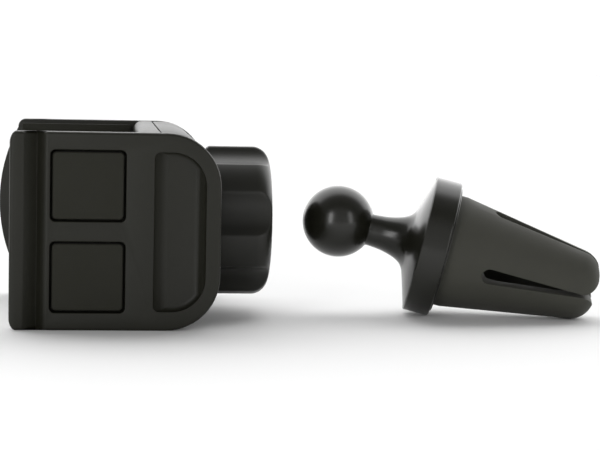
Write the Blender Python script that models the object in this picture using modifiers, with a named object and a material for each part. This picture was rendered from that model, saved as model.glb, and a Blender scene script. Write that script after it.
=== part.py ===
"""Air vent phone holder: a spring-loaded cradle with a ball socket, and the vent clip that plugs into it.

Frame: metres, +Z up. The origin is the middle of the face that the phone's back rests on. +X runs
from the phone through the cradle towards the dashboard, and the socket's axis is the X axis. Y runs
along the width that the jaws close over: the fixed jaw is at -Y, the sliding jaw at +Y.
The cradle stands on the lower edges of its jaws, and the vent clip lies on the same surface with
its ball in line with the socket.
"""
import math

import bmesh
import bpy
from mathutils import Matrix

MM = 0.001
GAP = 0.3 * MM                      # clearance between neighbouring pieces

# Jaw plates, seen from the side
HOLDER_WIDTH = 66.0 * MM            # over both jaws, closed
JAW_DEPTH = 28.0 * MM               # from the phone's back to the front edge of a jaw
PLATE_REAR = 18.5 * MM              # from the phone's back to the rear edge of a jaw
PLATE_HEIGHT = 43.8 * MM
PLATE_THICK = 3.0 * MM
PLATE_EDGE_R = 0.6 * MM
REAR_CORNER_R = 12.0 * MM
FRONT_CORNER = (1.5 * MM, 2.7 * MM)  # length and height of the fixed jaw's front corners
SLIDING_CORNER_R = 1.8 * MM
THUMB_BOW = 4.5 * MM                # how far the sliding jaw's front edge bows forward
THUMB_BOW_TOP = 2.0 * MM            # from the bow's ends to the jaw's upper and lower edges
THUMB_BOW_BOTTOM = 5.2 * MM

# Reliefs in the outer face of each jaw
COVE_CENTRE = 5.9 * MM              # from the jaw's front edge to the middle of the long cove
COVE_WIDTH = 4.8 * MM
COVE_DEPTH = 0.7 * MM
COVE_SIDES = 48
WINDOW_FRONT = 9.0 * MM             # from the jaw's front edge to the square windows
WINDOW_LENGTH = 16.2 * MM
WINDOW_HEIGHT = 14.9 * MM
WINDOW_SPACING = 4.7 * MM           # bar between the upper and the lower window
WINDOW_CORNER_R = 1.1 * MM
WINDOW_GAP = 0.45 * MM              # dark line round each rubber plug
POCKET_FRONT = 3.2 * MM             # X of the D-shaped pocket's straight side
POCKET_MARGIN = 3.8 * MM            # from the pocket to the plate's rear edge
POCKET_END = 4.8 * MM               # from the pocket's ends to the jaw's upper and lower edges
POCKET_CORNER_R = 7.5 * MM
POCKET_FRONT_R = 1.4 * MM
POCKET_DEPTH = 1.7 * MM
POCKET_SOFTEN = 1.1 * MM            # radius between the pocket's wall and floor

# Rubber liners
LINER_THICK = 1.6 * MM
LINER_RIB = 0.5 * MM
LINER_RIB_PITCH = 3.1 * MM
LINER_RIB_TOP = 0.3                 # share of the pitch that is the flat top of a rib
LINER_RIB_FOOT = 0.6                # share of the pitch at the foot of a rib
LINER_INSET = 1.0 * MM              # from the plate's edge to the liner's edge
LINER_LIP = 3.4 * MM                # how far the hooked front bead reaches in over the phone
LINER_LIP_WIDTH = 2.2 * MM
LINER_LIP_R = 0.9 * MM
LINER_LIP_INSET = 0.2 * MM          # from the liner's edges to the bead
LINER_LIP_EDGE_R = 0.6 * MM
LINER_LIP_SINK = 0.1 * MM           # from the bead's root to the liner's back
LINER_PLUG_SINK = 0.1 * MM          # how far the plugs stand below the jaw's outer face

# Body between the jaws
BODY_INSET = 0.9 * MM               # how far the body stands inside the plates' upper and lower edges
BODY_REAR_INSET = 1.9 * MM          # how far its back stands inside the plates' rear edge
BODY_WALL = 2.0 * MM
COVER_FACE = 0.5 * MM               # X of the cover's front face, just behind the phone pad
COVER_EDGE_R = 2.0 * MM
SEAM_X = 5.0 * MM                   # parting line between the cover and the housing
SEAM_R = 0.2 * MM
COVER_WALL = 1.6 * MM               # behind the pad's recess
PAD_THICK = 1.1 * MM
PAD_SIDE = 6.0 * MM                 # from the pad to the jaws' inner faces
PAD_END = 4.5 * MM                  # from the pad to the body's upper and lower faces
PAD_CORNER_R = 3.5 * MM
PAD_EDGE_R = 0.25 * MM

# Guide rods and return springs
ROD_X = 9.3 * MM
ROD_FROM_TOP = 6.8 * MM             # from the body's upper face down to the upper rod
ROD_R = 1.5 * MM
ROD_POINT = 0.4 * MM
ROD_HEAD_R = 2.3 * MM
ROD_HEAD = 0.8 * MM
ROD_SEAT = 2.8 * MM                 # length of rod held in the jaw's boss
JAW_BOSS_R = 3.2 * MM
JAW_BOSS = 2.4 * MM
JAW_BOSS_ROOT = 0.8 * MM            # how far the boss runs on into the jaw
SLEEVE_R = 4.0 * MM
SLEEVE = 8.0 * MM
WASHER_R = 2.8 * MM
WASHER_THICK = 0.8 * MM
ROD_END_ROOM = 2.4 * MM             # from the rod's head to the housing's inner wall
SPRING_R = 2.25 * MM
SPRING_WIRE_R = 0.28 * MM
SPRING_TURNS = 9
SPRING_STEPS = 8                    # points in each turn
SPRING_CLOSED_RISE = 2.4            # rise of the closed end turns, in wire radii

# Housing screws
SCREW_FROM_WALL = 3.8 * MM          # from the housing's inner side wall
SCREW_Z = 5.0 * MM
SCREW_R = 1.1 * MM
SCREW_HEAD_R = 2.2 * MM
SCREW_HEAD = 1.0 * MM
SCREW_HEAD_EDGE = 0.35 * MM
SCREW_DRIVE_R = 0.8 * MM
SCREW_DRIVE_DEPTH = 0.6 * MM
SCREW_LENGTH = 9.0 * MM
SCREW_POINT = 0.7 * MM
SCREW_POINT_R = 0.3 * MM
POST_R = 2.6 * MM
POST_MEET_X = 9.4 * MM              # where the cover's posts meet the housing's bosses

# Ball socket and its clamping knob
BALL_R = 8.5 * MM
BALL_CLEARANCE = 0.3 * MM
BALL_SEATED_X = 24.2 * MM
SOCKET_WALL = 1.6 * MM
SOCKET_FLANGE_R = 12.0 * MM
SOCKET_FLANGE_CHAMFER = 1.2 * MM    # clears the housing's rounded inner corners
SOCKET_FLANGE = 2.0 * MM
SOCKET_REACH = 4.5 * MM             # how far the fingers reach past the ball's middle
SOCKET_FLARE = 0.35 * MM
SOCKET_TAPER = 2.5 * MM             # length of the fingers' tapered ends
SOCKET_TAPER_DEPTH = 0.5 * MM
SOCKET_SLOTS = 6
SOCKET_SLOT_WIDTH = 1.3 * MM
SOCKET_SLOT_DEPTH = 8.0 * MM
SOCKET_SLOT_PHASE = math.radians(15.0)
CLAMP_RING_R = 8.0 * MM             # ring inside the cover that backs the socket's flange
CLAMP_RING_WALL = 1.8 * MM
KNOB_WALL = 7.1 * MM                # from the socket's outside to the knob's lobes
KNOB_LENGTH = 14.4 * MM
KNOB_REAR_R = 2.7 * MM              # rounding of the knob's rear end
KNOB_FRONT_R = 0.9 * MM
KNOB_MOUTH = 0.8 * MM               # room round the ball in the knob's mouth
KNOB_LEAD = 0.8 * MM                # bevel at the mouth's rim
KNOB_LIP = 1.2 * MM                 # depth at which the mouth starts to taper outwards
KNOB_FLUTES = 6
FLUTE_WIDTH = 9.9 * MM
FLUTE_DEPTH = 2.4 * MM
FLUTE_PHASE = math.radians(10.0)

# Vent clip, measured along its own axis from the ball's centre
BALL_REST_X = 48.8 * MM
CLIP_YAW = math.radians(-9.0)
STEM_NECK_R = 3.8 * MM
STEM_WAIST_R = 4.05 * MM
STEM_ROOT_R = 5.1 * MM
CONE_SLOPE = math.radians(16.5)     # of the plate's front face
CONE_FILLET = 2.0 * MM              # between the stem and that face
CONE_RIM = 0.5 * MM                 # bevel at the plate's rim
RING_FRONT = 21.5 * MM
RING_LENGTH = 5.2 * MM
RING_BAND = 2.9 * MM                # from the boot's base out to the ring's outside
RING_STEP = (1.3 * MM, 0.35 * MM)   # depth and length of the step at the ring's rear edge
RING_CHAMFER = 0.8 * MM
RING_LIP = 1.6 * MM
RING_WALL = 1.4 * MM
SPIGOT = 0.8 * MM                   # how far the plate's spigot reaches into the ring
BOOT_BASE_R = 13.4 * MM
BOOT_START = 28.4 * MM              # where the boot starts to taper
BOOT_TIP = 63.4 * MM
BOOT_TIP_R = 8.1 * MM
BOOT_TIP_ROUND = 4.4 * MM
PRONG_SLOT = 3.7 * MM               # width of the slots at their round roots
PRONG_SLOT_TIP = 0.8 * MM
PRONG_END_ROUND = 3.0 * MM          # rounding of each prong's inner edge at its tip
PRONG_ROOT = 35.6 * MM
PRONG_PHASE = math.radians(12.0)
WELL_DEPTH = 1.5 * MM               # from the slots' roots down to the screw's washer
WELL_STRAIGHT = 2.0 * MM            # straight part of the well between the prongs
WELL_END = 11.2 * MM                # from the well's pointed end to the prongs' tips
HUB_R = 4.4 * MM
HUB_REACH = 6.0 * MM
CLIP_SCREW_R = 1.4 * MM
CLIP_SCREW_HEAD_R = 2.7 * MM
CLIP_SCREW_HEAD = 1.8 * MM
CLIP_SCREW_HEAD_EDGE = 0.75 * MM
CLIP_SCREW_DRIVE_R = 1.1 * MM
CLIP_SCREW_DRIVE_DEPTH = 1.0 * MM
CLIP_SCREW_LENGTH = 11.0 * MM
CLIP_SCREW_POINT = 0.8 * MM
CLIP_SCREW_POINT_R = 0.4 * MM
CLIP_WASHER_R = 3.6 * MM
CLIP_WASHER_THICK = 0.7 * MM

# Fineness of round forms
ROUND = 32
SMALL_ROUND = 12
BOSS_ROUND = 24
KNOB_ROUND = 48
RING_ROUND = 40
BOOT_ROUND = 36
WASHER_ROUND = 16
BALL_STEPS = 12
LARGE_CORNER = 3.0 * MM             # corners up to this radius have three steps
OVERLAP = 1.0 * MM                  # how far shapes that are joined run into each other, and cutters run past

# Sizes that follow from those above
HALF_WIDTH = HOLDER_WIDTH / 2
HALF_HEIGHT = PLATE_HEIGHT / 2
JAW_FRONT = -JAW_DEPTH
PLATE_INNER = HALF_WIDTH - PLATE_THICK
BODY_HALF_HEIGHT = HALF_HEIGHT - BODY_INSET
BODY_REAR = PLATE_REAR - BODY_REAR_INSET
BODY_CORNER_R = REAR_CORNER_R - BODY_INSET
BODY_NEAR = -(PLATE_INNER - GAP)
BODY_FAR = PLATE_INNER - 2 * GAP
CAVITY_NEAR = BODY_NEAR + BODY_WALL
CAVITY_FAR = BODY_FAR - BODY_WALL
CAVITY_HALF_HEIGHT = BODY_HALF_HEIGHT - BODY_WALL
CAVITY_REAR = BODY_REAR - BODY_WALL
PAD_HALF_WIDTH = PLATE_INNER - PAD_SIDE
PAD_HALF_HEIGHT = BODY_HALF_HEIGHT - PAD_END
PAD_RECESS_FLOOR = PAD_THICK + GAP
COVER_INNER = PAD_RECESS_FLOOR + COVER_WALL
POCKET_HALF = HALF_HEIGHT - POCKET_END
ROD_Z = BODY_HALF_HEIGHT - ROD_FROM_TOP
SCREW_Y = CAVITY_FAR - SCREW_FROM_WALL
SLEEVE_END = CAVITY_FAR - SLEEVE
ROD_INNER_END = CAVITY_NEAR + ROD_END_ROOM
SPRING_NEAR = ROD_INNER_END + ROD_HEAD + GAP + WASHER_THICK + GAP
SPRING_FAR = SLEEVE_END - GAP
SOCKET_BORE_R = BALL_R + BALL_CLEARANCE
SOCKET_OUTER_R = SOCKET_BORE_R + SOCKET_WALL
SOCKET_FLANGE_REAR = CAVITY_REAR - GAP
SOCKET_FLANGE_FRONT = SOCKET_FLANGE_REAR - SOCKET_FLANGE
SOCKET_TIP = BALL_SEATED_X + SOCKET_REACH
KNOB_R = SOCKET_OUTER_R + KNOB_WALL
KNOB_FRONT = BODY_REAR + GAP
KNOB_REAR = KNOB_FRONT + KNOB_LENGTH
RING_R = BOOT_BASE_R + RING_BAND
RING_REAR = RING_FRONT + RING_LENGTH
HUB_END = RING_FRONT + HUB_REACH
SPIGOT_R = RING_R - RING_WALL - GAP
SPIGOT_END = RING_FRONT + SPIGOT
WASHER_TOP = PRONG_ROOT - WELL_DEPTH
WASHER_LOW = WASHER_TOP - CLIP_WASHER_THICK
CLIP_SCREW_SEAT = WASHER_TOP + GAP
CLIP_SCREW_END = WASHER_TOP - CLIP_SCREW_LENGTH
RING_REST_REACH = math.hypot(RING_REAR - RING_CHAMFER, RING_R)
CLIP_TILT = math.asin(HALF_HEIGHT / RING_REST_REACH) - math.atan2(RING_R, RING_REAR - RING_CHAMFER)


for old in list(bpy.data.objects):
    bpy.data.objects.remove(old, do_unlink=True)

holder = bpy.data.collections.new("vent_phone_holder")
cutters = bpy.data.collections.new("cutters")
bpy.context.scene.collection.children.link(holder)
bpy.context.scene.collection.children.link(cutters)


def material(name, colour, roughness, metallic=0.0):
    """Make a plain Principled material."""
    made = bpy.data.materials.new(name)
    made.use_nodes = True
    shader = made.node_tree.nodes["Principled BSDF"]
    shader.inputs["Base Color"].default_value = (*colour, 1.0)
    shader.inputs["Roughness"].default_value = roughness
    shader.inputs["Metallic"].default_value = metallic
    return made


SATIN_PLASTIC = ("satin_black_plastic", (0.030, 0.028, 0.024), 0.42)
GLOSS_PLASTIC = ("polished_black_plastic", (0.022, 0.022, 0.021), 0.26)
SOCKET_PLASTIC = ("socket_black_plastic", (0.026, 0.026, 0.027), 0.36)
SOFT_RUBBER = ("soft_black_rubber", (0.034, 0.034, 0.035), 0.78)
BRIGHT_STEEL = ("bright_steel", (0.62, 0.62, 0.63), 0.24, 1.0)
SPRING_STEEL = ("spring_steel", (0.45, 0.45, 0.46), 0.34, 1.0)


def add_object(name, mesh, finish=None):
    """Put a mesh in the holder with its finish, or in the cutters where it has none."""
    made = bpy.data.objects.new(name, mesh)
    if finish is None:
        cutters.objects.link(made)
        made.hide_render = True
        made.display_type = "WIRE"
    else:
        holder.objects.link(made)
        mesh.materials.append(material(f"{name}_{finish[0]}", *finish[1:]))
    return made


def shade(item, angle=35.0):
    """Shade round faces smooth and keep the real edges sharp."""
    item.data.shade_smooth()
    item.data.set_sharp_from_angle(angle=math.radians(angle))


def box(name, low, high, finish=None):
    """A box between two corners."""
    size = [b - a for a, b in zip(low, high)]
    middle = [(a + b) / 2 for a, b in zip(low, high)]
    work = bmesh.new()
    bmesh.ops.create_cube(work, size=1.0, matrix=Matrix.Diagonal((*size, 1.0)))
    mesh = bpy.data.meshes.new(name)
    work.to_mesh(mesh)
    work.free()
    made = add_object(name, mesh, finish)
    made.location = middle
    return made


def rod_along(name, axis, centre, radius, start, end, sides=SMALL_ROUND, finish=None):
    """A cylinder along X, Y or Z from start to end; centre gives its other two coordinates."""
    work = bmesh.new()
    bmesh.ops.create_cone(work, cap_ends=True, segments=sides, radius1=radius, radius2=radius,
                          depth=end - start)
    mesh = bpy.data.meshes.new(name)
    work.to_mesh(mesh)
    work.free()
    made = add_object(name, mesh, finish)
    middle = (start + end) / 2
    if axis == "X":
        made.location = (middle, *centre)
        made.rotation_euler = (0.0, math.pi / 2, 0.0)
    elif axis == "Y":
        made.location = (centre[0], middle, centre[1])
        made.rotation_euler = (math.pi / 2, 0.0, 0.0)
    else:
        made.location = (*centre, middle)
    return made


def arc(centre, radius, start, end, steps):
    """Points on an arc, both ends included; angles in degrees."""
    turn = math.radians(end - start) / steps
    first = math.radians(start)
    return [(centre[0] + radius * math.cos(first + turn * k),
             centre[1] + radius * math.sin(first + turn * k)) for k in range(steps + 1)]


def rounded_outline(low, high, radii, steps=6):
    """A rectangle with its own corners: low-low, high-low, high-high, low-high.

    A corner is a radius, or the length and height of a quarter of an ellipse.
    """
    corners = ((low[0], low[1], 1, 1, 180), (high[0], low[1], -1, 1, 270),
               (high[0], high[1], -1, -1, 0), (low[0], high[1], 1, -1, 90))
    points = []
    for (x, y, right, up, start), radius in zip(corners, radii):
        across, along = radius if isinstance(radius, tuple) else (radius, radius)
        for a, b in arc((0.0, 0.0), 1.0, start, start + 90, steps if across > LARGE_CORNER else 3):
            points.append((x + across * (right + a), y + along * (up + b)))
    return points


def extrude_outline(name, points, low, high, along="Y", edge=0.0, finish=None, edge_steps=1):
    """A flat outline given thickness. Along Y the outline is (x, z); along X it is (y, z)."""
    curve = bpy.data.curves.new(name, "CURVE")
    curve.dimensions = "2D"
    curve.fill_mode = "BOTH"
    curve.extrude = (high - low) / 2 - edge
    curve.bevel_depth = edge
    curve.bevel_resolution = edge_steps
    curve.offset = -edge
    spline = curve.splines.new("POLY")
    spline.points.add(len(points) - 1)
    for target, (a, b) in zip(spline.points, points):
        target.co = (a, b, 0.0, 1.0)
    spline.use_cyclic_u = True
    drawn = bpy.data.objects.new(name, curve)
    cutters.objects.link(drawn)
    middle = (low + high) / 2
    if along == "Y":
        drawn.location = (0.0, middle, 0.0)
        drawn.rotation_euler = (math.pi / 2, 0.0, 0.0)
    else:
        drawn.location = (middle, 0.0, 0.0)
        drawn.rotation_euler = (math.pi / 2, 0.0, math.pi / 2)
    return curve_to_mesh(drawn, name, finish)


def curve_to_mesh(drawn, name, finish):
    """Swap a curve object for a welded mesh object in the same place."""
    bpy.context.view_layer.update()
    evaluated = drawn.evaluated_get(bpy.context.evaluated_depsgraph_get())
    mesh = bpy.data.meshes.new_from_object(evaluated)
    placed = drawn.matrix_world.copy()
    bpy.data.objects.remove(drawn, do_unlink=True)
    work = bmesh.new()
    work.from_mesh(mesh)
    bmesh.ops.remove_doubles(work, verts=work.verts, dist=1e-6)
    bmesh.ops.recalc_face_normals(work, faces=work.faces)
    work.to_mesh(mesh)
    work.free()
    mesh.materials.clear()
    mesh.name = name
    made = add_object(name, mesh, finish)
    made.matrix_world = placed
    return made


def turned(name, profile, finish=None, sides=ROUND):
    """A turned solid on the local Z axis from (radius, z) points that start and end on the axis or meet."""
    mesh = bpy.data.meshes.new(name)
    count = len(profile)
    closed = profile[0][0] > 0 and profile[-1][0] > 0
    edges = [(k, k + 1) for k in range(count - 1)]
    if closed:
        edges.append((count - 1, 0))
    mesh.from_pydata([(r, 0.0, z) for r, z in profile], edges, [])
    made = add_object(name, mesh, finish)
    screw = made.modifiers.new("turn", "SCREW")
    screw.axis = "Z"
    screw.steps = sides
    screw.render_steps = sides
    screw.use_merge_vertices = True
    screw.merge_threshold = 0.00001
    screw.use_smooth_shade = True
    return made


def along_x(item):
    """Turn a piece modelled on local Z so that its axis lies along X, through the origin."""
    item.rotation_euler = (0.0, math.pi / 2, 0.0)
    return item


def combine(item, other, how="DIFFERENCE"):
    """Cut, join or keep the common part of two solids, exactly."""
    modifier = item.modifiers.new(f"{how.lower()}_{other.name}"[:60], "BOOLEAN")
    modifier.operation = how
    modifier.solver = "EXACT"
    modifier.object = other
    return item


# Jaw plates
def jaw_outline(front_corner):
    """The side plate's outline."""
    return rounded_outline((JAW_FRONT, -HALF_HEIGHT), (PLATE_REAR, HALF_HEIGHT),
                           (front_corner, REAR_CORNER_R, REAR_CORNER_R, front_corner), 7)


def thumb_bow():
    """The sliding jaw's front edge, which bows forward for the thumb."""
    half = HALF_HEIGHT - (THUMB_BOW_TOP + THUMB_BOW_BOTTOM) / 2
    middle = (THUMB_BOW_BOTTOM - THUMB_BOW_TOP) / 2
    radius = (half ** 2 + THUMB_BOW ** 2) / (2 * THUMB_BOW)
    spread = math.degrees(math.asin(half / radius))
    return arc((JAW_FRONT - THUMB_BOW + radius, middle), radius, 180 - spread, 180 + spread, 12)


def square_outline(upper, shrink=0.0):
    """One of the two square windows in a jaw, or the plug that fills it."""
    low_z = WINDOW_SPACING / 2 if upper else -WINDOW_SPACING / 2 - WINDOW_HEIGHT
    front = JAW_FRONT + WINDOW_FRONT
    radius = WINDOW_CORNER_R - shrink / 2
    return rounded_outline((front + shrink, low_z + shrink),
                           (front + WINDOW_LENGTH - shrink, low_z + WINDOW_HEIGHT - shrink),
                           (radius,) * 4)


def cut_reliefs(jaw, side):
    """Cut the cove, the two windows and the D-shaped pocket into a jaw's outer face."""
    name = "fixed" if side < 0 else "sliding"
    outer = side * HALF_WIDTH
    cove_r = (COVE_WIDTH ** 2 / 4 + COVE_DEPTH ** 2) / (2 * COVE_DEPTH)
    cove_y = outer + side * (cove_r - COVE_DEPTH)
    cove = rod_along(f"{name}_cove_cutter", "Z", (JAW_FRONT + COVE_CENTRE, cove_y), cove_r,
                     -PLATE_HEIGHT, PLATE_HEIGHT, sides=COVE_SIDES)
    combine(jaw, cove)
    through = sorted((outer + side * PLATE_THICK, outer - side * 2 * PLATE_THICK))
    for upper, place in ((True, "upper"), (False, "lower")):
        combine(jaw, extrude_outline(f"{name}_window_cutter_{place}", square_outline(upper), *through))
    pocket = rounded_outline((POCKET_FRONT, -POCKET_HALF), (PLATE_REAR - POCKET_MARGIN, POCKET_HALF),
                             (POCKET_FRONT_R, POCKET_CORNER_R, POCKET_CORNER_R, POCKET_FRONT_R))
    floor = outer - side * POCKET_DEPTH
    depth = sorted((floor, outer + side * 2 * PLATE_THICK))
    cutter = extrude_outline(f"{name}_pocket_cutter", pocket, *depth, edge=POCKET_SOFTEN, edge_steps=2)
    combine(jaw, cutter)


def tube_cutters(item, name, axis, centre, outer_r, bore_r, start, end, bore_start, bore_end):
    """Join a round boss to a piece and drill it."""
    combine(item, rod_along(f"{name}_boss", axis, centre, outer_r, start, end), "UNION")
    combine(item, rod_along(f"{name}_bore", axis, centre, bore_r, bore_start, bore_end))


def screw_places():
    """Name and place of each housing screw."""
    places = [(y, z) for z in (SCREW_Z, -SCREW_Z) for y in (-SCREW_Y, SCREW_Y)]
    return [(k + 1, place) for k, place in enumerate(places)]


def rod_places():
    """Name and height of each guide rod."""
    return (("upper", ROD_Z), ("lower", -ROD_Z))


def body_outline(front, rear, half_height, front_r, rear_r):
    """Side outline of the body between the jaws."""
    return rounded_outline((front, -half_height), (rear, half_height), (front_r, rear_r, rear_r, front_r), 7)


# Front cover with the fixed jaw
def make_front_cover():
    tray_side = body_outline(COVER_FACE, SEAM_X, BODY_HALF_HEIGHT, COVER_EDGE_R, SEAM_R)
    tray = extrude_outline("cover_tray", tray_side, -PLATE_INNER - OVERLAP, BODY_FAR)
    room = box("cover_room_cutter", (COVER_INNER, CAVITY_NEAR, -CAVITY_HALF_HEIGHT),
               (SEAM_X + BODY_WALL, CAVITY_FAR, CAVITY_HALF_HEIGHT))
    combine(tray, room)
    cover = extrude_outline("front_cover", jaw_outline(FRONT_CORNER), -HALF_WIDTH, -PLATE_INNER,
                            edge=PLATE_EDGE_R, finish=SATIN_PLASTIC)
    combine(cover, tray, "UNION")
    pad = rounded_outline((-PAD_HALF_WIDTH - GAP, -PAD_HALF_HEIGHT - GAP),
                          (PAD_HALF_WIDTH + GAP, PAD_HALF_HEIGHT + GAP), (PAD_CORNER_R + GAP,) * 4)
    combine(cover, extrude_outline("pad_recess_cutter", pad, COVER_FACE - PAD_THICK, PAD_RECESS_FLOOR, "X"))
    inside = COVER_INNER - OVERLAP
    ring_end = SOCKET_FLANGE_FRONT - GAP
    tube_cutters(cover, "clamp_ring", "X", (0.0, 0.0), CLAMP_RING_R, CLAMP_RING_R - CLAMP_RING_WALL,
                 inside, ring_end, COVER_INNER, ring_end + GAP)
    for number, place in screw_places():
        tube_cutters(cover, f"post_{number}", "X", place, POST_R, SCREW_R + GAP,
                     inside, POST_MEET_X, SEAM_X, POST_MEET_X + GAP)
    cut_reliefs(cover, -1)
    shade(cover)


# Back housing
def make_back_housing():
    front = SEAM_X + GAP
    housing = extrude_outline("back_housing",
                              body_outline(front, BODY_REAR, BODY_HALF_HEIGHT, SEAM_R, BODY_CORNER_R),
                              BODY_NEAR, BODY_FAR, finish=SATIN_PLASTIC)
    cavity_r = BODY_CORNER_R - BODY_WALL
    cavity = extrude_outline("housing_cavity_cutter",
                             body_outline(front - BODY_WALL, CAVITY_REAR, CAVITY_HALF_HEIGHT, SEAM_R, cavity_r),
                             CAVITY_NEAR, CAVITY_FAR)
    combine(housing, cavity)
    for name, z in rod_places():
        centre = (ROD_X, z)
        tube_cutters(housing, f"sleeve_{name}", "Y", centre, SLEEVE_R, ROD_R + GAP,
                     SLEEVE_END, CAVITY_FAR + BODY_WALL / 2, SLEEVE_END - GAP, BODY_FAR + BODY_WALL)
        boss_room = rod_along(f"boss_room_cutter_{name}", "Y", centre, JAW_BOSS_R + GAP,
                              PLATE_INNER - JAW_BOSS - GAP, BODY_FAR + BODY_WALL, sides=BOSS_ROUND)
        combine(housing, boss_room)
    for number, place in screw_places():
        tube_cutters(housing, f"screw_boss_{number}", "X", place, POST_R, SCREW_R + GAP,
                     POST_MEET_X + GAP, CAVITY_REAR + BODY_WALL / 2, POST_MEET_X, BODY_REAR + GAP)
        head_room = rod_along(f"head_room_cutter_{number}", "X", place, SCREW_HEAD_R + GAP,
                              BODY_REAR - SCREW_HEAD - GAP, BODY_REAR + GAP)
        combine(housing, head_room)
    neck = rod_along("neck_hole_cutter", "X", (0.0, 0.0), SOCKET_OUTER_R + GAP,
                     CAVITY_REAR - BODY_WALL, BODY_REAR + BODY_WALL, sides=ROUND)
    combine(housing, neck)
    shade(housing)


# Sliding jaw with its two rods
def make_sliding_jaw():
    jaw = extrude_outline("sliding_jaw", jaw_outline(SLIDING_CORNER_R) + thumb_bow(), PLATE_INNER, HALF_WIDTH,
                          edge=PLATE_EDGE_R, finish=SATIN_PLASTIC)
    for name, z in rod_places():
        centre = (ROD_X, z)
        tube_cutters(jaw, f"jaw_{name}", "Y", centre, JAW_BOSS_R, ROD_R + GAP,
                     PLATE_INNER - JAW_BOSS, PLATE_INNER + JAW_BOSS_ROOT,
                     PLATE_INNER - 2 * JAW_BOSS, PLATE_INNER - JAW_BOSS + ROD_SEAT + GAP)
    cut_reliefs(jaw, 1)
    shade(jaw)


def make_rods_and_springs():
    for name, z in rod_places():
        outer_end = PLATE_INNER - JAW_BOSS + ROD_SEAT
        length = outer_end - ROD_INNER_END
        profile = [(0.0, length), (ROD_R - ROD_POINT, length), (ROD_R, length - ROD_POINT), (ROD_R, ROD_HEAD),
                   (ROD_HEAD_R, ROD_HEAD), (ROD_HEAD_R, 0.0), (0.0, 0.0)]
        rod = turned(f"guide_rod_{name}", profile, BRIGHT_STEEL, sides=SMALL_ROUND)
        rod.location = (ROD_X, ROD_INNER_END, z)
        rod.rotation_euler = (-math.pi / 2, 0.0, 0.0)
        shade(rod)
        seat = ROD_INNER_END + ROD_HEAD + GAP
        washer = turned(f"spring_washer_{name}", tube_profile(WASHER_R, ROD_R + GAP, 0.0, WASHER_THICK),
                        BRIGHT_STEEL, sides=SMALL_ROUND)
        washer.location = (ROD_X, seat, z)
        washer.rotation_euler = (-math.pi / 2, 0.0, 0.0)
        shade(washer)
        make_spring(f"return_spring_{name}", z)


def tube_profile(outer_r, inner_r, low, high):
    """Section of a plain tube, running down its outer side."""
    return [(outer_r, high), (outer_r, low), (inner_r, low), (inner_r, high)]


def make_spring(name, z):
    """A compression spring round a guide rod, with a closed turn at each end."""
    curve = bpy.data.curves.new(name, "CURVE")
    curve.dimensions = "3D"
    curve.bevel_depth = SPRING_WIRE_R
    curve.bevel_resolution = 2
    curve.use_fill_caps = True
    spline = curve.splines.new("POLY")
    spline.points.add(SPRING_TURNS * SPRING_STEPS)
    for k, point in enumerate(spline.points):
        turn = k / SPRING_STEPS
        angle = 2 * math.pi * turn
        across, up = SPRING_R * math.cos(angle), SPRING_R * math.sin(angle)
        point.co = (ROD_X + across, spring_height(turn), z + up, 1.0)
    drawn = bpy.data.objects.new(name, curve)
    cutters.objects.link(drawn)
    spring = curve_to_mesh(drawn, name, SPRING_STEEL)
    shade(spring, 60.0)


def spring_height(turn):
    """Place of the wire along Y after some turns: one close turn at each end, even turns between."""
    low = SPRING_NEAR + SPRING_WIRE_R
    high = SPRING_FAR - SPRING_WIRE_R
    closed_rise = SPRING_CLOSED_RISE * SPRING_WIRE_R
    if turn < 1:
        return low + closed_rise * turn
    if turn > SPRING_TURNS - 1:
        return high - closed_rise * (SPRING_TURNS - turn)
    share = (turn - 1) / (SPRING_TURNS - 2)
    return low + closed_rise + (high - low - 2 * closed_rise) * share


# Rubber liners and the phone pad
def make_liner(name, side):
    """Ribbed liner of one jaw, with two square plugs that fill the jaw's windows."""
    back = PLATE_INNER - GAP
    face = back - LINER_THICK
    half = HALF_HEIGHT - LINER_INSET
    count = int(2 * half / LINER_RIB_PITCH)
    start = -LINER_RIB_PITCH * count / 2
    points = [(back, -half), (back, half), (face + LINER_RIB, half)]
    foot = LINER_RIB_PITCH * LINER_RIB_FOOT / 2
    top = LINER_RIB_PITCH * LINER_RIB_TOP / 2
    for k in reversed(range(count)):
        middle = start + (k + 0.5) * LINER_RIB_PITCH
        points += [(face + LINER_RIB, middle + foot), (face, middle + top),
                   (face, middle - top), (face + LINER_RIB, middle - foot)]
    points.append((face + LINER_RIB, -half))
    points = [(side * y, z) for y, z in points]
    if side > 0:
        points.reverse()
    liner = extrude_outline(name, points, JAW_FRONT + LINER_INSET, -GAP, "X", finish=SOFT_RUBBER)
    plug_reach = sorted((side * (back - LINER_RIB), side * (HALF_WIDTH - LINER_PLUG_SINK)))
    for upper, place in ((True, "upper"), (False, "lower")):
        plug = extrude_outline(f"{name}_plug_{place}", square_outline(upper, WINDOW_GAP), *plug_reach)
        combine(liner, plug, "UNION")
    bead_half = half - LINER_LIP_INSET
    lip = rounded_outline((JAW_FRONT + LINER_INSET - LINER_LIP_INSET, -bead_half),
                          (JAW_FRONT + LINER_INSET + LINER_LIP_WIDTH, bead_half), (LINER_LIP_R,) * 4)
    bead_reach = sorted((side * (back - LINER_LIP), side * (back - LINER_LIP_SINK)))
    bead = extrude_outline(f"{name}_bead", lip, *bead_reach, edge=LINER_LIP_EDGE_R)
    combine(liner, bead, "UNION")
    shade(liner)


def make_phone_pad():
    outline = rounded_outline((-PAD_HALF_WIDTH, -PAD_HALF_HEIGHT), (PAD_HALF_WIDTH, PAD_HALF_HEIGHT),
                              (PAD_CORNER_R,) * 4)
    pad = extrude_outline("phone_pad", outline, 0.0, PAD_THICK, "X", edge=PAD_EDGE_R, finish=SOFT_RUBBER)
    shade(pad)


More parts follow.
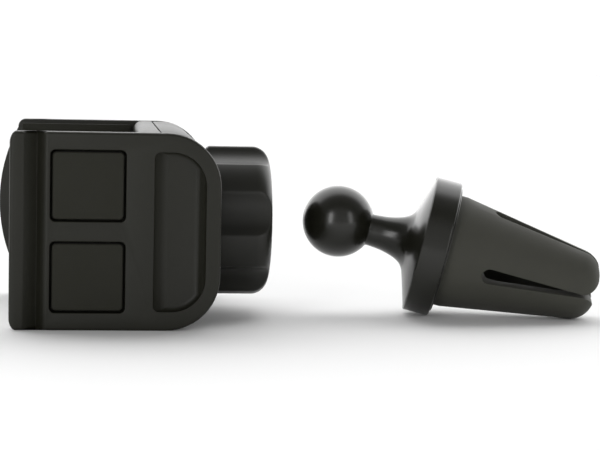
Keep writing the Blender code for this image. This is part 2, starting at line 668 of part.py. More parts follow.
# Screws
def make_housing_screws():
    seat = BODY_REAR - SCREW_HEAD
    drive = SCREW_HEAD - SCREW_DRIVE_DEPTH
    profile = [(0.0, drive), (SCREW_DRIVE_R, drive), (SCREW_DRIVE_R, SCREW_HEAD),
               (SCREW_HEAD_R - SCREW_HEAD_EDGE, SCREW_HEAD), (SCREW_HEAD_R, SCREW_HEAD - SCREW_HEAD_EDGE),
               (SCREW_HEAD_R, 0.0), (SCREW_R, 0.0), (SCREW_R, SCREW_POINT - SCREW_LENGTH),
               (SCREW_POINT_R, -SCREW_LENGTH), (0.0, -SCREW_LENGTH)]
    for number, (y, z) in screw_places():
        screw = along_x(turned(f"housing_screw_{number}", profile, BRIGHT_STEEL, sides=SMALL_ROUND))
        screw.location = (seat, y, z)
        shade(screw)


# Ball socket and clamping knob
def make_ball_socket():
    """A slotted collet: spherical seat, six fingers and a flange that the housing traps."""
    rim = SOCKET_BORE_R + SOCKET_FLARE
    seat_apex = BALL_SEATED_X - SOCKET_BORE_R
    outer = [(0.0, SOCKET_TIP), (SOCKET_OUTER_R - SOCKET_TAPER_DEPTH, SOCKET_TIP),
             (SOCKET_OUTER_R, SOCKET_TIP - SOCKET_TAPER),
             (SOCKET_OUTER_R, SOCKET_FLANGE_REAR),
             (SOCKET_FLANGE_R - SOCKET_FLANGE_CHAMFER, SOCKET_FLANGE_REAR),
             (SOCKET_FLANGE_R, SOCKET_FLANGE_REAR - SOCKET_FLANGE_CHAMFER),
             (SOCKET_FLANGE_R, SOCKET_FLANGE_FRONT), (0.0, SOCKET_FLANGE_FRONT)]
    socket = along_x(turned("ball_socket", outer, SOCKET_PLASTIC, sides=ROUND))
    seat = [(SOCKET_BORE_R * math.cos(a), BALL_SEATED_X + SOCKET_BORE_R * math.sin(a))
            for a in (math.radians(-15.0 * k) for k in range(7))]
    seat[-1] = (0.0, seat_apex)
    past = SOCKET_TIP + OVERLAP
    room = [(0.0, past), (rim, past), (rim, SOCKET_TIP)] + seat
    combine(socket, along_x(turned("ball_room_cutter", room, sides=ROUND)))
    root = SOCKET_TIP - SOCKET_SLOT_DEPTH
    for k in range(SOCKET_SLOTS // 2):
        slot = box(f"socket_slot_cutter_{k + 1}", (root, -2 * SOCKET_OUTER_R, -SOCKET_SLOT_WIDTH / 2),
                   (past, 2 * SOCKET_OUTER_R, SOCKET_SLOT_WIDTH / 2))
        slot.rotation_euler = (2 * math.pi / SOCKET_SLOTS * k + SOCKET_SLOT_PHASE, 0.0, 0.0)
        combine(socket, slot)
    shade(socket)


def make_clamp_knob():
    """Six-lobed nut with a tapered mouth that squeezes the socket's fingers."""
    bore = SOCKET_OUTER_R + 1.3 * GAP
    mouth = BALL_R + KNOB_MOUTH
    rear = arc((KNOB_R - KNOB_REAR_R, KNOB_REAR - KNOB_REAR_R), KNOB_REAR_R, 90, 0, 5)
    front = arc((KNOB_R - KNOB_FRONT_R, KNOB_FRONT + KNOB_FRONT_R), KNOB_FRONT_R, 0, -90, 3)
    profile = [(mouth + KNOB_LEAD, KNOB_REAR)] + rear + front
    profile += [(bore, KNOB_FRONT), (bore, SOCKET_TIP - GAP), (mouth, KNOB_REAR - KNOB_LIP),
                (mouth, KNOB_REAR - KNOB_LEAD)]
    knob = along_x(turned("clamp_knob", profile, GLOSS_PLASTIC, sides=KNOB_ROUND))
    sagitta = FLUTE_DEPTH - (KNOB_R - math.sqrt(KNOB_R ** 2 - FLUTE_WIDTH ** 2 / 4))
    flute_r = (FLUTE_WIDTH ** 2 / 4 + sagitta ** 2) / (2 * sagitta)
    reach = KNOB_R - FLUTE_DEPTH + flute_r
    for k in range(KNOB_FLUTES):
        angle = FLUTE_PHASE + 2 * math.pi * k / KNOB_FLUTES
        centre = (-reach * math.cos(angle), reach * math.sin(angle))
        flute = rod_along(f"flute_cutter_{k + 1}", "X", centre, flute_r,
                          KNOB_FRONT - OVERLAP, KNOB_REAR + OVERLAP, sides=BOSS_ROUND)
        combine(knob, flute)
    shade(knob)


# Vent clip
def make_vent_clip():
    axis = bpy.data.objects.new("clip_axis", None)
    holder.objects.link(axis)
    axis.location = (BALL_REST_X, 0.0, 0.0)
    lean = Matrix.Rotation(CLIP_YAW, 3, "Z") @ Matrix.Rotation(math.pi / 2 + CLIP_TILT, 3, "Y")
    axis.rotation_euler = lean.to_euler()
    for piece in (make_ball_stud(), make_clip_ring(), make_prong_boot(), make_clip_washer(), make_clip_screw()):
        piece.parent = axis
        shade(piece)


def make_ball_stud():
    """Ball, flared stem and conical plate in one piece, with a spigot and a hub behind for the boot."""
    start = math.degrees(math.acos(STEM_NECK_R / BALL_R))
    ball = arc((0.0, 0.0), BALL_R, start, start - BALL_STEPS * (start + 90) / (BALL_STEPS + 1), BALL_STEPS)
    plate_rear = RING_FRONT - GAP
    cone_edge = plate_rear - 2 * CONE_RIM
    cone_foot_r = STEM_ROOT_R + CONE_FILLET
    cone_foot = cone_edge - (RING_R - CONE_RIM - cone_foot_r) * math.tan(CONE_SLOPE)
    waist = (BALL_R + cone_foot) / 2 - CONE_FILLET
    hole_r = CLIP_SCREW_R + GAP
    hole_end = CLIP_SCREW_END - GAP
    profile = [(0.0, hole_end), (hole_r, hole_end), (hole_r, HUB_END), (HUB_R, HUB_END), (HUB_R, SPIGOT_END),
               (SPIGOT_R, SPIGOT_END), (SPIGOT_R, plate_rear), (RING_R, plate_rear),
               (RING_R, plate_rear - CONE_RIM), (RING_R - CONE_RIM, cone_edge), (cone_foot_r, cone_foot),
               (STEM_ROOT_R + 0.35 * CONE_FILLET, cone_foot - 0.45 * CONE_FILLET),
               (STEM_ROOT_R, cone_foot - 1.3 * CONE_FILLET), (STEM_WAIST_R, waist)]
    return turned("ball_stud", profile + ball + [(0.0, -BALL_R)], GLOSS_PLASTIC)


def make_clip_ring():
    """Retaining ring: clamps the boot's flange against the conical plate."""
    bore = RING_R - RING_WALL
    lip = BOOT_BASE_R + GAP
    step_depth, step_length = RING_STEP
    step_r = RING_R - step_depth
    profile = [(RING_R, RING_FRONT), (bore, RING_FRONT), (bore, RING_REAR - RING_LIP),
               (lip, RING_REAR - RING_LIP), (lip, RING_REAR), (step_r, RING_REAR),
               (step_r, RING_REAR - step_length), (RING_R, RING_REAR - RING_CHAMFER)]
    return turned("clip_ring", profile, GLOSS_PLASTIC, sides=RING_ROUND)


def prong_slot_outline():
    """A slot between two prongs: round at its root, narrow at the tips, and flared where they end."""
    root_r = PRONG_SLOT / 2
    tip_half = PRONG_SLOT_TIP / 2
    flare_start = BOOT_TIP - PRONG_END_ROUND
    flare = [(tip_half + PRONG_END_ROUND - x, z)
             for x, z in arc((0.0, flare_start), PRONG_END_ROUND, 0, 72, 4)]
    far = flare[-1][0]
    outline = [(-x, z) for x, z in reversed(flare)] + arc((0.0, PRONG_ROOT + root_r), root_r, 180, 360, 8)
    return outline + flare + [(far, BOOT_TIP + OVERLAP), (-far, BOOT_TIP + OVERLAP)]


def make_prong_boot():
    """Rubber cone split by two crossed slots into four prongs that nearly meet at their tips."""
    flange_rear = RING_REAR - RING_LIP - GAP
    flange_front = SPIGOT_END + GAP
    tip_start = BOOT_TIP - BOOT_TIP_ROUND
    slope = math.atan((BOOT_BASE_R - BOOT_TIP_R) / (tip_start - BOOT_START))
    tip = arc((BOOT_TIP_R - BOOT_TIP_ROUND, tip_start), BOOT_TIP_ROUND, 90, math.degrees(slope), 6)
    bore = HUB_R + GAP
    screw_bore = CLIP_SCREW_R + GAP
    well_r = CLIP_WASHER_R + GAP
    well_floor = WASHER_LOW - GAP
    profile = [(0.0, BOOT_TIP)] + tip
    profile += [(BOOT_BASE_R, BOOT_START), (BOOT_BASE_R, flange_rear), (SPIGOT_R, flange_rear),
                (SPIGOT_R, flange_front), (bore, flange_front), (bore, HUB_END + GAP),
                (screw_bore, HUB_END + GAP), (screw_bore, well_floor), (well_r, well_floor),
                (well_r, PRONG_ROOT + WELL_STRAIGHT), (0.0, BOOT_TIP - WELL_END)]
    boot = turned("prong_boot", profile, SOFT_RUBBER, sides=BOOT_ROUND)
    reach = 2 * BOOT_BASE_R
    for k, name in enumerate(("first", "second")):
        slot = extrude_outline(f"prong_slot_cutter_{name}", prong_slot_outline(), -reach, reach)
        slot.matrix_world = Matrix.Rotation(math.pi / 2 * k + PRONG_PHASE, 4, "Z") @ slot.matrix_world
        slot.parent = bpy.data.objects["clip_axis"]
        combine(boot, slot)
    return boot


def make_clip_washer():
    return turned("clip_washer", tube_profile(CLIP_WASHER_R, CLIP_SCREW_R + GAP, WASHER_LOW, WASHER_TOP),
                  BRIGHT_STEEL, sides=WASHER_ROUND)


def make_clip_screw():
    top = CLIP_SCREW_SEAT + CLIP_SCREW_HEAD
    drive = top - CLIP_SCREW_DRIVE_DEPTH
    profile = [(0.0, drive), (CLIP_SCREW_DRIVE_R, drive), (CLIP_SCREW_DRIVE_R, top),
               (CLIP_SCREW_HEAD_R - CLIP_SCREW_HEAD_EDGE, top), (CLIP_SCREW_HEAD_R, top - CLIP_SCREW_HEAD_EDGE),
               (CLIP_SCREW_HEAD_R, CLIP_SCREW_SEAT), (CLIP_SCREW_R, CLIP_SCREW_SEAT),
               (CLIP_SCREW_R, CLIP_SCREW_END + CLIP_SCREW_POINT), (CLIP_SCREW_POINT_R, CLIP_SCREW_END),
               (0.0, CLIP_SCREW_END)]
    return turned("clip_screw", profile, BRIGHT_STEEL, sides=SMALL_ROUND)


make_front_cover()
make_back_housing()
make_sliding_jaw()
make_rods_and_springs()
make_liner("fixed_grip_liner", -1)
make_liner("sliding_grip_liner", 1)
make_phone_pad()
make_housing_screws()
make_ball_socket()
make_clamp_knob()
make_vent_clip()
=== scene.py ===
# %% [markdown]
# # An air vent phone holder
# The holder has two parts that lie side by side. On the left is a spring-loaded cradle: two jaw
# plates with a body between them, and behind it a six-lobed knob round a ball socket. On the right
# is the clip that goes onto a vent blade: a 17 mm ball on a flared stem, a conical plate, a
# retaining ring and a rubber cone split into four prongs.
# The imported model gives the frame: where each piece sits, and what moves with what. The visible
# pieces are modelled again here more finely, round that frame.

import math
from contextlib import contextmanager

import bmesh
import bpy
from mathutils import Matrix, Vector


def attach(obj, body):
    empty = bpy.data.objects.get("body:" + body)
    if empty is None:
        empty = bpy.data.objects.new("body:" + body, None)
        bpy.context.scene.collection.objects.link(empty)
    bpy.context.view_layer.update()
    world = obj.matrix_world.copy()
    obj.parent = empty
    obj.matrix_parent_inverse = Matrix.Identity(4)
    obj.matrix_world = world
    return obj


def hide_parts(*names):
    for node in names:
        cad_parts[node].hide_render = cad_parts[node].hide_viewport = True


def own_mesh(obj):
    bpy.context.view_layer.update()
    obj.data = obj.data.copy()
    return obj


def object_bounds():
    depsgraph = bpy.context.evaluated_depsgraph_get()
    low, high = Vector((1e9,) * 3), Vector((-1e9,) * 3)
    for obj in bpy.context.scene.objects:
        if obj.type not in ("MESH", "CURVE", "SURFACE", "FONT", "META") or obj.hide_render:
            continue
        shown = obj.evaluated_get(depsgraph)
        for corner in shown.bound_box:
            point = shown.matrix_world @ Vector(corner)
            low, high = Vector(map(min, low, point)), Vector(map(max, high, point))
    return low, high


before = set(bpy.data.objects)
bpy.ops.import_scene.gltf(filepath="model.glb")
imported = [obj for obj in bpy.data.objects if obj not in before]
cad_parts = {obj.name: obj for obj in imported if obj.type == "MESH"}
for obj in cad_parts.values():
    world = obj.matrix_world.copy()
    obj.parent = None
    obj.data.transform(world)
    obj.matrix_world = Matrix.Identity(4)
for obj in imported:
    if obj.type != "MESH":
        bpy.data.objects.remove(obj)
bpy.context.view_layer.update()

# %% [markdown]
# ## The camera
# The photograph was taken from a low place in front of the near jaw, with a long lens, so the plates
# look almost flat on. The camera's place, turn and lens were found by matching the edges of the
# jaws, the knob and the ball to their places in the picture, which is 600 by 450 pixels.

# %% Camera
MM = 0.001
IMAGE_WIDTH = 600
FOCAL_PIXELS = 2000.0
SENSOR_WIDTH = 36.0
CAMERA_PLACE = (-12.96 * MM, -472.10 * MM, 43.12 * MM)
CAMERA_TURN = math.radians(6.357)  # towards the dashboard side
CAMERA_DROP = math.radians(5.313)  # below the horizon
CAMERA_ROLL = math.radians(1.224)
CLIP_START = 20 * MM

forward = Vector((math.sin(CAMERA_TURN) * math.cos(CAMERA_DROP),
                  math.cos(CAMERA_TURN) * math.cos(CAMERA_DROP), -math.sin(CAMERA_DROP)))
level = Vector((math.cos(CAMERA_TURN), -math.sin(CAMERA_TURN), 0.0))
upward = level.cross(forward)
right = math.cos(CAMERA_ROLL) * level + math.sin(CAMERA_ROLL) * upward
upright = -math.sin(CAMERA_ROLL) * level + math.cos(CAMERA_ROLL) * upward
looking = Matrix((right, upright, -forward)).transposed()
bpy.ops.object.select_all(action="DESELECT")
bpy.ops.object.camera_add(location=CAMERA_PLACE, rotation=looking.to_euler())
camera = bpy.context.object
camera.data.sensor_width = SENSOR_WIDTH
camera.data.lens = FOCAL_PIXELS / IMAGE_WIDTH * SENSOR_WIDTH
camera.data.clip_start = CLIP_START
bpy.context.scene.camera = camera
print("camera lens", round(camera.data.lens, 1), "mm")

# %% [markdown]
# ## Working by hand, in code
# In the editor one clicks on a piece, goes into edit mode, selects some edges and presses a key.
# These helpers do the same. `only` selects one piece, `editing` opens its edit mode for a few lines,
# and `pick` selects vertices, edges or faces by a test of their place or direction. An operator acts
# on all that is selected, so each helper deselects everything first.

# %% Selecting and editing
NEAR = 0.01 * MM  # what is this close to a place counts as there
TOUCHING = 0.001 * MM  # points this close are one point


def only(piece):
    """Make one piece the only selected one."""
    bpy.ops.object.select_all(action="DESELECT")
    piece.select_set(True)
    bpy.context.view_layer.objects.active = piece


def settle(piece):
    """Put a piece's place, turn and scale into its mesh."""
    only(piece)
    bpy.ops.object.transform_apply(location=True, rotation=True, scale=True)
    return piece


def primitive(add, name, scale=(1.0, 1.0, 1.0), **settings):
    """Add a mesh primitive with nothing else selected, name it and put its place into its mesh."""
    bpy.ops.object.select_all(action="DESELECT")
    add(**settings)
    piece = bpy.context.object
    piece.name = piece.data.name = name
    piece.scale = scale
    return settle(piece)


@contextmanager
def editing(piece):
    """Edit mode on one piece, with vertices as what is selected."""
    only(piece)
    bpy.ops.object.mode_set(mode="EDIT")
    bpy.ops.mesh.select_mode(type="VERT")
    yield piece.data
    bpy.ops.object.mode_set(mode="OBJECT")


def pick(mesh, kind, test):
    """In edit mode, select the vertices, edges or faces that pass a test."""
    bpy.ops.mesh.select_mode(type=kind)
    bpy.ops.mesh.select_all(action="DESELECT")
    form = bmesh.from_edit_mesh(mesh)
    form.normal_update()
    for part in {"VERT": form.verts, "EDGE": form.edges, "FACE": form.faces}[kind]:
        if test(part):
            part.select_set(True)
    form.select_flush_mode()
    bmesh.update_edit_mesh(mesh)


print("helpers for selecting are ready")

# %% [markdown]
# ## Plates, turned pieces and outlines
# Nearly all of this holder is plates with rounded corners, turned pieces, and flat outlines drawn
# out. So there are three ways to start a solid. `slab` begins with a plane, bevels its corners and
# extrudes it. `turned` extrudes one vertex along a section and spins it round the X axis. `drawn`
# does the same with an outline, fills it and extrudes it.

# %% Slab
CORNER_STEPS = 14
RIM_STEPS = 4


def face_out():
    """In edit mode, turn all faces outwards."""
    bpy.ops.mesh.select_all(action="SELECT")
    bpy.ops.mesh.normals_make_consistent(inside=False)


def draw_out(flat, start, end):
    """In edit mode, extrude everything from start to end along an axis (0, 1 or 2 for X, Y or Z)."""
    way = [0.0, 0.0, 0.0]
    way[flat] = end - start
    bpy.ops.mesh.select_all(action="SELECT")
    bpy.ops.mesh.extrude_region_move(TRANSFORM_OT_translate={"value": way})
    face_out()


def slab(name, low, high, radii, start, end, along="Y", start_r=0.0, end_r=0.0):
    """A block with rounded corners.

    Along Y its outline is (x, z) and along X it is (y, z). radii are those of the corners low-low,
    high-low, high-high and low-high, and start_r and end_r round the rims at its two ends.
    """
    across, flat = (1, 0) if along == "X" else (0, 1)
    place = [0.0, 0.0, (low[1] + high[1]) / 2]
    place[across], place[flat] = (low[0] + high[0]) / 2, start
    piece = primitive(bpy.ops.mesh.primitive_plane_add, name, (high[0] - low[0], high[1] - low[1], 1.0),
                      size=1.0, location=place,
                      rotation=(math.pi / 2, 0.0, math.pi / 2 if along == "X" else 0.0))
    corners = ((low[0], low[1]), (high[0], low[1]), (high[0], high[1]), (low[0], high[1]))
    with editing(piece) as mesh:
        for (a, b), radius in zip(corners, radii):
            if radius > 0.0:
                pick(mesh, "VERT", lambda v: abs(v.co[across] - a) < NEAR and abs(v.co.z - b) < NEAR)
                bpy.ops.mesh.bevel(affect="VERTICES", offset=radius, segments=CORNER_STEPS)
        draw_out(flat, start, end)
        for level, radius in ((start, start_r), (end, end_r)):
            if radius > 0.0:
                pick(mesh, "EDGE", lambda e: all(abs(v.co[flat] - level) < NEAR for v in e.verts))
                bpy.ops.mesh.bevel(affect="EDGES", offset=radius, segments=RIM_STEPS,
                                   clamp_overlap=False)
    return piece


print("slabs have", CORNER_STEPS, "steps in a corner and", RIM_STEPS, "in a rim")

# %% Turned pieces
TURN_STEPS = 96


def chain(name, points):
    """A line of vertices: a plane merged to one point, then extruded from point to point."""
    points = [Vector(p) for p in points]
    piece = primitive(bpy.ops.mesh.primitive_plane_add, name, size=MM, location=points[0])
    with editing(piece):
        bpy.ops.mesh.select_all(action="SELECT")
        bpy.ops.mesh.merge(type="CENTER")
        for a, b in zip(points, points[1:]):
            bpy.ops.mesh.extrude_vertices_move(TRANSFORM_OT_translate={"value": b - a})
    return piece


def turned(name, section, steps=TURN_STEPS, place=(0.0, 0.0, 0.0)):
    """A piece turned round the X axis from a section of (x, radius) points, then moved to its place."""
    piece = chain(name, [(x, 0.0, r) for x, r in section])
    with editing(piece):
        bpy.ops.mesh.select_all(action="SELECT")
        bpy.ops.mesh.spin(steps=steps, angle=2 * math.pi, center=(0.0, 0.0, 0.0), axis=(1.0, 0.0, 0.0))
        bpy.ops.mesh.select_all(action="SELECT")
        bpy.ops.mesh.remove_doubles(threshold=TOUCHING)
        face_out()
    piece.location = place
    return settle(piece)


def tube(name, outer_r, inner_r, start, end, place=(0.0, 0.0, 0.0), steps=48):
    """A plain tube or, with no inner radius, a round bar along X."""
    if inner_r == 0.0:
        section = [(start, 0.0), (start, outer_r), (end, outer_r), (end, 0.0)]
    else:
        section = [(start, inner_r), (start, outer_r), (end, outer_r), (end, inner_r), (start, inner_r)]
    return turned(name, section, steps, place)


print("turned pieces have", TURN_STEPS, "steps")


# %% Drawn outlines and smooth lines
def drawn(name, points, start, end, along):
    """A solid from a closed outline, whose points are (y, z) along X, (x, z) along Y, (x, y) along Z."""
    flat = "XYZ".index(along)
    spots = []
    for point in points:
        spot = list(point)
        spot.insert(flat, start)
        spots.append(spot)
    piece = chain(name, spots)
    with editing(piece):
        bpy.ops.mesh.select_all(action="SELECT")
        bpy.ops.mesh.edge_face_add()
        draw_out(flat, start, end)
    return piece


def arc(x, r, radius, start, end, steps):
    """Points (x, r) on an arc. Its angles are in degrees, from outwards round towards +X."""
    angles = [math.radians(start + (end - start) * k / steps) for k in range(steps + 1)]
    return [(x + radius * math.sin(a), r + radius * math.cos(a)) for a in angles]


def eased(points, steps):
    """A smooth line through all the points."""
    line = []
    for k in range(len(points) - 1):
        before = Vector(points[max(k - 1, 0)])
        a, b = Vector(points[k]), Vector(points[k + 1])
        after = Vector(points[min(k + 2, len(points) - 1)])
        bend = 2 * before - 5 * a + 4 * b - after
        twist = 3 * a - before - 3 * b + after
        for t in (step / steps for step in range(steps)):
            line.append(tuple(0.5 * (2 * a + (b - before) * t + bend * t ** 2 + twist * t ** 3)))
    return line + [tuple(points[-1])]


print("an arc of 3 steps:", [tuple(round(v, 2) for v in spot) for spot in arc(0.0, 0.0, 1.0, 0, 90, 3)])

# %% [markdown]
# ## Cutting and rounding
# Pockets, windows and bosses are cut and joined with exact booleans, as a mould is made. `step_in`
# insets a face again and again, so a wall follows any profile: that gives the rounded mouth of a
# window and the soft floor of a pocket. A fine bevel at the end breaks the edges that are left, since
# no moulded edge is perfectly sharp and every edge in the photograph catches a thin line of light.

# %% Cutting and joining
def carve(piece, tool, how="DIFFERENCE"):
    """Cut a tool out of a piece, join it on, or keep what they share. The tool is used up."""
    only(piece)
    cut = piece.modifiers.new("cut", "BOOLEAN")
    cut.operation = how
    cut.solver = "EXACT"
    cut.object = tool
    bpy.ops.object.modifier_apply(modifier=cut.name)
    bpy.data.objects.remove(tool, do_unlink=True)
    return piece


def together(*tools):
    """Join tools that don't touch each other into one, so that one cut does for all of them."""
    bpy.ops.object.select_all(action="DESELECT")
    for tool in tools:
        tool.select_set(True)
    bpy.context.view_layer.objects.active = tools[0]
    bpy.ops.object.join()
    return tools[0]


def clean_flats(piece):
    """Join the faces that lie in one plane."""
    with editing(piece):
        bpy.ops.mesh.select_all(action="SELECT")
        bpy.ops.mesh.remove_doubles(threshold=TOUCHING)
        bpy.ops.mesh.dissolve_limited(angle_limit=math.radians(0.05))


print("cutters are ready")


# %% Insets, fine edges and finishing
def step_in(points):
    """In edit mode, inset the selected face so that its wall follows (inset, rise) points."""
    past_in = past_up = 0.0
    for inset, rise in points:
        bpy.ops.mesh.inset(thickness=inset - past_in, depth=rise - past_up)
        past_in, past_up = inset, rise


def break_edges(piece, width, steps=2, angle=38.0):
    """A fine bevel on every edge that is still sharp."""
    only(piece)
    bevel = piece.modifiers.new("fine_bevel", "BEVEL")
    bevel.width = width
    bevel.segments = steps
    bevel.limit_method = "ANGLE"
    bevel.angle_limit = math.radians(angle)
    bevel.use_clamp_overlap = True
    bpy.ops.object.modifier_apply(modifier=bevel.name)


def hand_over(piece, body, slot, finish, *stands_for, angle=32.0):
    """Finish a piece: smooth shading, its material, its body, and hiding the nodes it replaces. The slot
    argument is not used.
    """
    only(piece)
    bpy.ops.object.shade_smooth_by_angle(angle=math.radians(angle))
    piece.data.materials.clear()
    piece.data.materials.append(finish)
    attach(piece, body)
    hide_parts(*stands_for)
    print(piece.name, "has", sum(len(f.vertices) - 2 for f in piece.data.polygons), "triangles")
    return piece


# %% [markdown]
# ## Finishes
# All colours are written as sRGB hex values, as one reads them from a picture, and one function
# turns them into the linear values that the renderer wants. Another small function adds a node with
# its settings and links. Pattern sizes are worked out from millimetres.

# %% Colour and node helpers
def linear(hex_value):
    """An sRGB hex colour as linear RGBA."""
    channels = [int(hex_value[k:k + 2], 16) / 255 for k in (1, 3, 5)]
    return (*(c / 12.92 if c <= 0.04045 else ((c + 0.055) / 1.055) ** 2.4 for c in channels), 1.0)


def add_node(tree, kind, inputs=None, **settings):
    """Add a node, set its properties, and give each input a value or another node's output."""
    made = tree.nodes.new(kind)
    for key, value in settings.items():
        setattr(made, key, value)
    for socket, value in (inputs or {}).items():
        if isinstance(value, bpy.types.NodeSocket):
            tree.links.new(value, made.inputs[socket])
        else:
            made.inputs[socket].default_value = value
    return made


def start_material(name, **values):
    """A material with a Principled shader, and the object's own coordinates."""
    material = bpy.data.materials.new(name)
    material.use_nodes = True
    tree = material.node_tree
    shader = tree.nodes["Principled BSDF"]
    for socket, value in values.items():
        shader.inputs[socket.replace("_", " ")].default_value = value
    place = add_node(tree, "ShaderNodeTexCoord").outputs["Object"]
    return material, tree, shader, place


def per_metre(size_mm):
    """The scale of a noise whose features are this many millimetres apart."""
    return 1.0 / (size_mm * MM)


print("a black of #191912 is", round(linear("#191912")[0], 4), "in linear light")

# %% [markdown]
# Every finish here is built in the same way, from two noises. A slow cloud tints the surface, as flow
# marks, bloom or plating do, and a fine grain gives the bump. The gloss follows the cloud, the grain
# or both.

# %% How a finish is built
def finish(name, dark, light, cloud, grain, gloss_from, gloss, bump, **values):
    """A material from a cloud and a grain.

    cloud and grain are (size in mm, detail, roughness), gloss is (lowest and highest noise, middle
    roughness, spread) and bump is (strength, depth in mm).
    """
    material, tree, shader, place = start_material(name, **values)
    noise = {}
    for part, (size_mm, detail, roughness) in (("cloud", cloud), ("grain", grain)):
        made = add_node(tree, "ShaderNodeTexNoise", {"Vector": place, "Scale": per_metre(size_mm),
                                                     "Detail": detail, "Roughness": roughness})
        noise[part] = made.outputs["Fac"]
    if gloss_from == "both":
        added = add_node(tree, "ShaderNodeMath", {0: noise["cloud"], 1: noise["grain"]}, operation="ADD")
        noise["both"] = added.outputs[0]
    low, high, middle, spread = gloss
    tint = add_node(tree, "ShaderNodeMix", {"Factor": noise["cloud"], "A": linear(dark), "B": linear(light)},
                    data_type="RGBA")
    shine = add_node(tree, "ShaderNodeMapRange",
                     {"Value": noise[gloss_from], "From Min": low, "From Max": high,
                      "To Min": middle - spread, "To Max": middle + spread})
    relief = add_node(tree, "ShaderNodeBump",
                      {"Height": noise["grain"], "Strength": bump[0], "Distance": bump[1] * MM})
    tree.links.new(tint.outputs["Result"], shader.inputs["Base Color"])
    tree.links.new(shine.outputs["Result"], shader.inputs["Roughness"])
    tree.links.new(relief.outputs["Normal"], shader.inputs["Normal"])
    return material


print("a noise of 0.45 mm has a scale of", round(per_metre(0.45)))

# %% [markdown]
# ### Textured black ABS
# The jaws and the body are black ABS moulded in a spark-textured tool. Seen flat on, the surface is a
# warm, slightly olive charcoal; seen along it, it shines softly. The real texture has grains of
# about 0.15 mm, too fine for this picture, so it is drawn at 0.45 mm. Slow changes in the roughness
# stand for flow marks and handling.

# %% Textured and polished plastics
FLOW_MARK_MM = 14.0


def black_plastic(name, dark, light, roughness, spread, grain_mm, depth_mm, level):
    """Moulded black plastic: a slow tint, a slow change in gloss and a fine grain."""
    return finish(name, dark, light, (FLOW_MARK_MM, 3.0, 0.5), (grain_mm, 4.0, 0.6), "both",
                  (0.6, 1.4, roughness, spread), (0.5, depth_mm), Specular_IOR_Level=level)


# Spark-textured ABS: satin, with a fine grain that scatters the highlight.
textured_abs = black_plastic("spark_textured_abs", "#191912", "#1e1e16", 0.46, 0.05, 0.45, 0.012, 0.3)
# Polished ABS: the ball, the stem and the ring come from a smoother tool, with narrow highlights.
polished_abs = black_plastic("fine_polished_abs", "#15150f", "#1a1a14", 0.24, 0.015, 0.6, 0.0015, 0.45)
# Satin ABS: the knob's tool is blasted a little, so its highlights are broad and soft.
satin_abs = black_plastic("satin_moulded_abs", "#15150f", "#1a1a14", 0.38, 0.03, 0.45, 0.006, 0.4)
# Acetal: a slightly waxy, cooler black for the collet.
black_acetal = black_plastic("moulded_black_acetal", "#151516", "#1a1a1b", 0.36, 0.04, 0.5, 0.005, 0.45)
print("plastics:", textured_abs.name, polished_abs.name, satin_abs.name, black_acetal.name)

# %% [markdown]
# ### Rubber
# The liners and the pad are a thermoplastic rubber, dead matt. The four prongs are a slightly
# greyer rubber with a faint bloom. Rubber has a rough, fine-pored skin: pores of about 0.1 mm, drawn
# at 0.5 mm here, and a soft sheen at grazing angles.

# %% Rubbers
BLOOM_MM = 8.0
PORE_MM = 0.5


def rubber(name, dark, light, roughness, sheen):
    """Matt moulded rubber with a fine-pored skin and a cloudy bloom."""
    return finish(name, dark, light, (BLOOM_MM, 4.0, 0.6), (PORE_MM, 5.0, 0.65), "cloud",
                  (0.3, 0.7, roughness, 0.06), (0.6, 0.04),
                  Specular_IOR_Level=0.2, Sheen_Weight=sheen, Sheen_Roughness=0.5)


liner_rubber = rubber("matt_liner_rubber", "#22221c", "#282821", 0.72, 0.02)
prong_rubber = rubber("grey_prong_rubber", "#3a3a34", "#43433d", 0.66, 0.03)
print("rubbers:", liner_rubber.name, prong_rubber.name)

# %% [markdown]
# ### Steel
# The rods, washers and screws are bright zinc-plated steel, turned or cold headed: fine rings round
# the axis and a faintly cloudy plating. The springs are drawn wire, darker, with lines along it.

# %% Steels
PLATING_CLOUD_MM = 2.5
ZINC_LIGHT = "#c9c8c2"


def steel(name, colour, roughness, streak_mm):
    """Plated steel with fine streaks and a cloudy plating."""
    return finish(name, colour, ZINC_LIGHT, (PLATING_CLOUD_MM, 3.0, 0.5), (streak_mm, 3.0, 0.5), "grain",
                  (0.0, 1.0, roughness, 0.08), (0.3, 0.004), Metallic=1.0)


plated_steel = steel("zinc_plated_steel", "#b9bbc0", 0.28, 0.3)
spring_wire = steel("drawn_spring_wire", "#8d8e90", 0.36, 0.2)
print("steels:", plated_steel.name, spring_wire.name)

# %% [markdown]
# ## The jaw plates
# Each jaw is a plate 3 mm thick. Its rear corners have a 12 mm radius, its front corners are small.
# The outer face has a long cove near the front, two square windows that show the rubber liner, and
# a D-shaped pocket. The plate is drawn out first and the cove is cut before the rim is rounded, so
# the rounding runs down into the cove as it does on a moulded part.

# %% Sizes of the jaws
HALF_WIDTH = 33.0 * MM
PLATE_INNER = 30.0 * MM
HALF_HEIGHT = 21.9 * MM
JAW_FRONT = -28.0 * MM
PLATE_REAR = 18.5 * MM
REAR_CORNER_R = 12.0 * MM
FRONT_CORNER = (1.5 * MM, 2.7 * MM)  # length and height of the fixed jaw's front corners
SLIDING_CORNER_R = 1.8 * MM
OUTER_RIM_R = 0.75 * MM
INNER_RIM_R = 0.4 * MM
GAP = 0.3 * MM
PAST = 1.0 * MM  # how far a tool runs past what it cuts

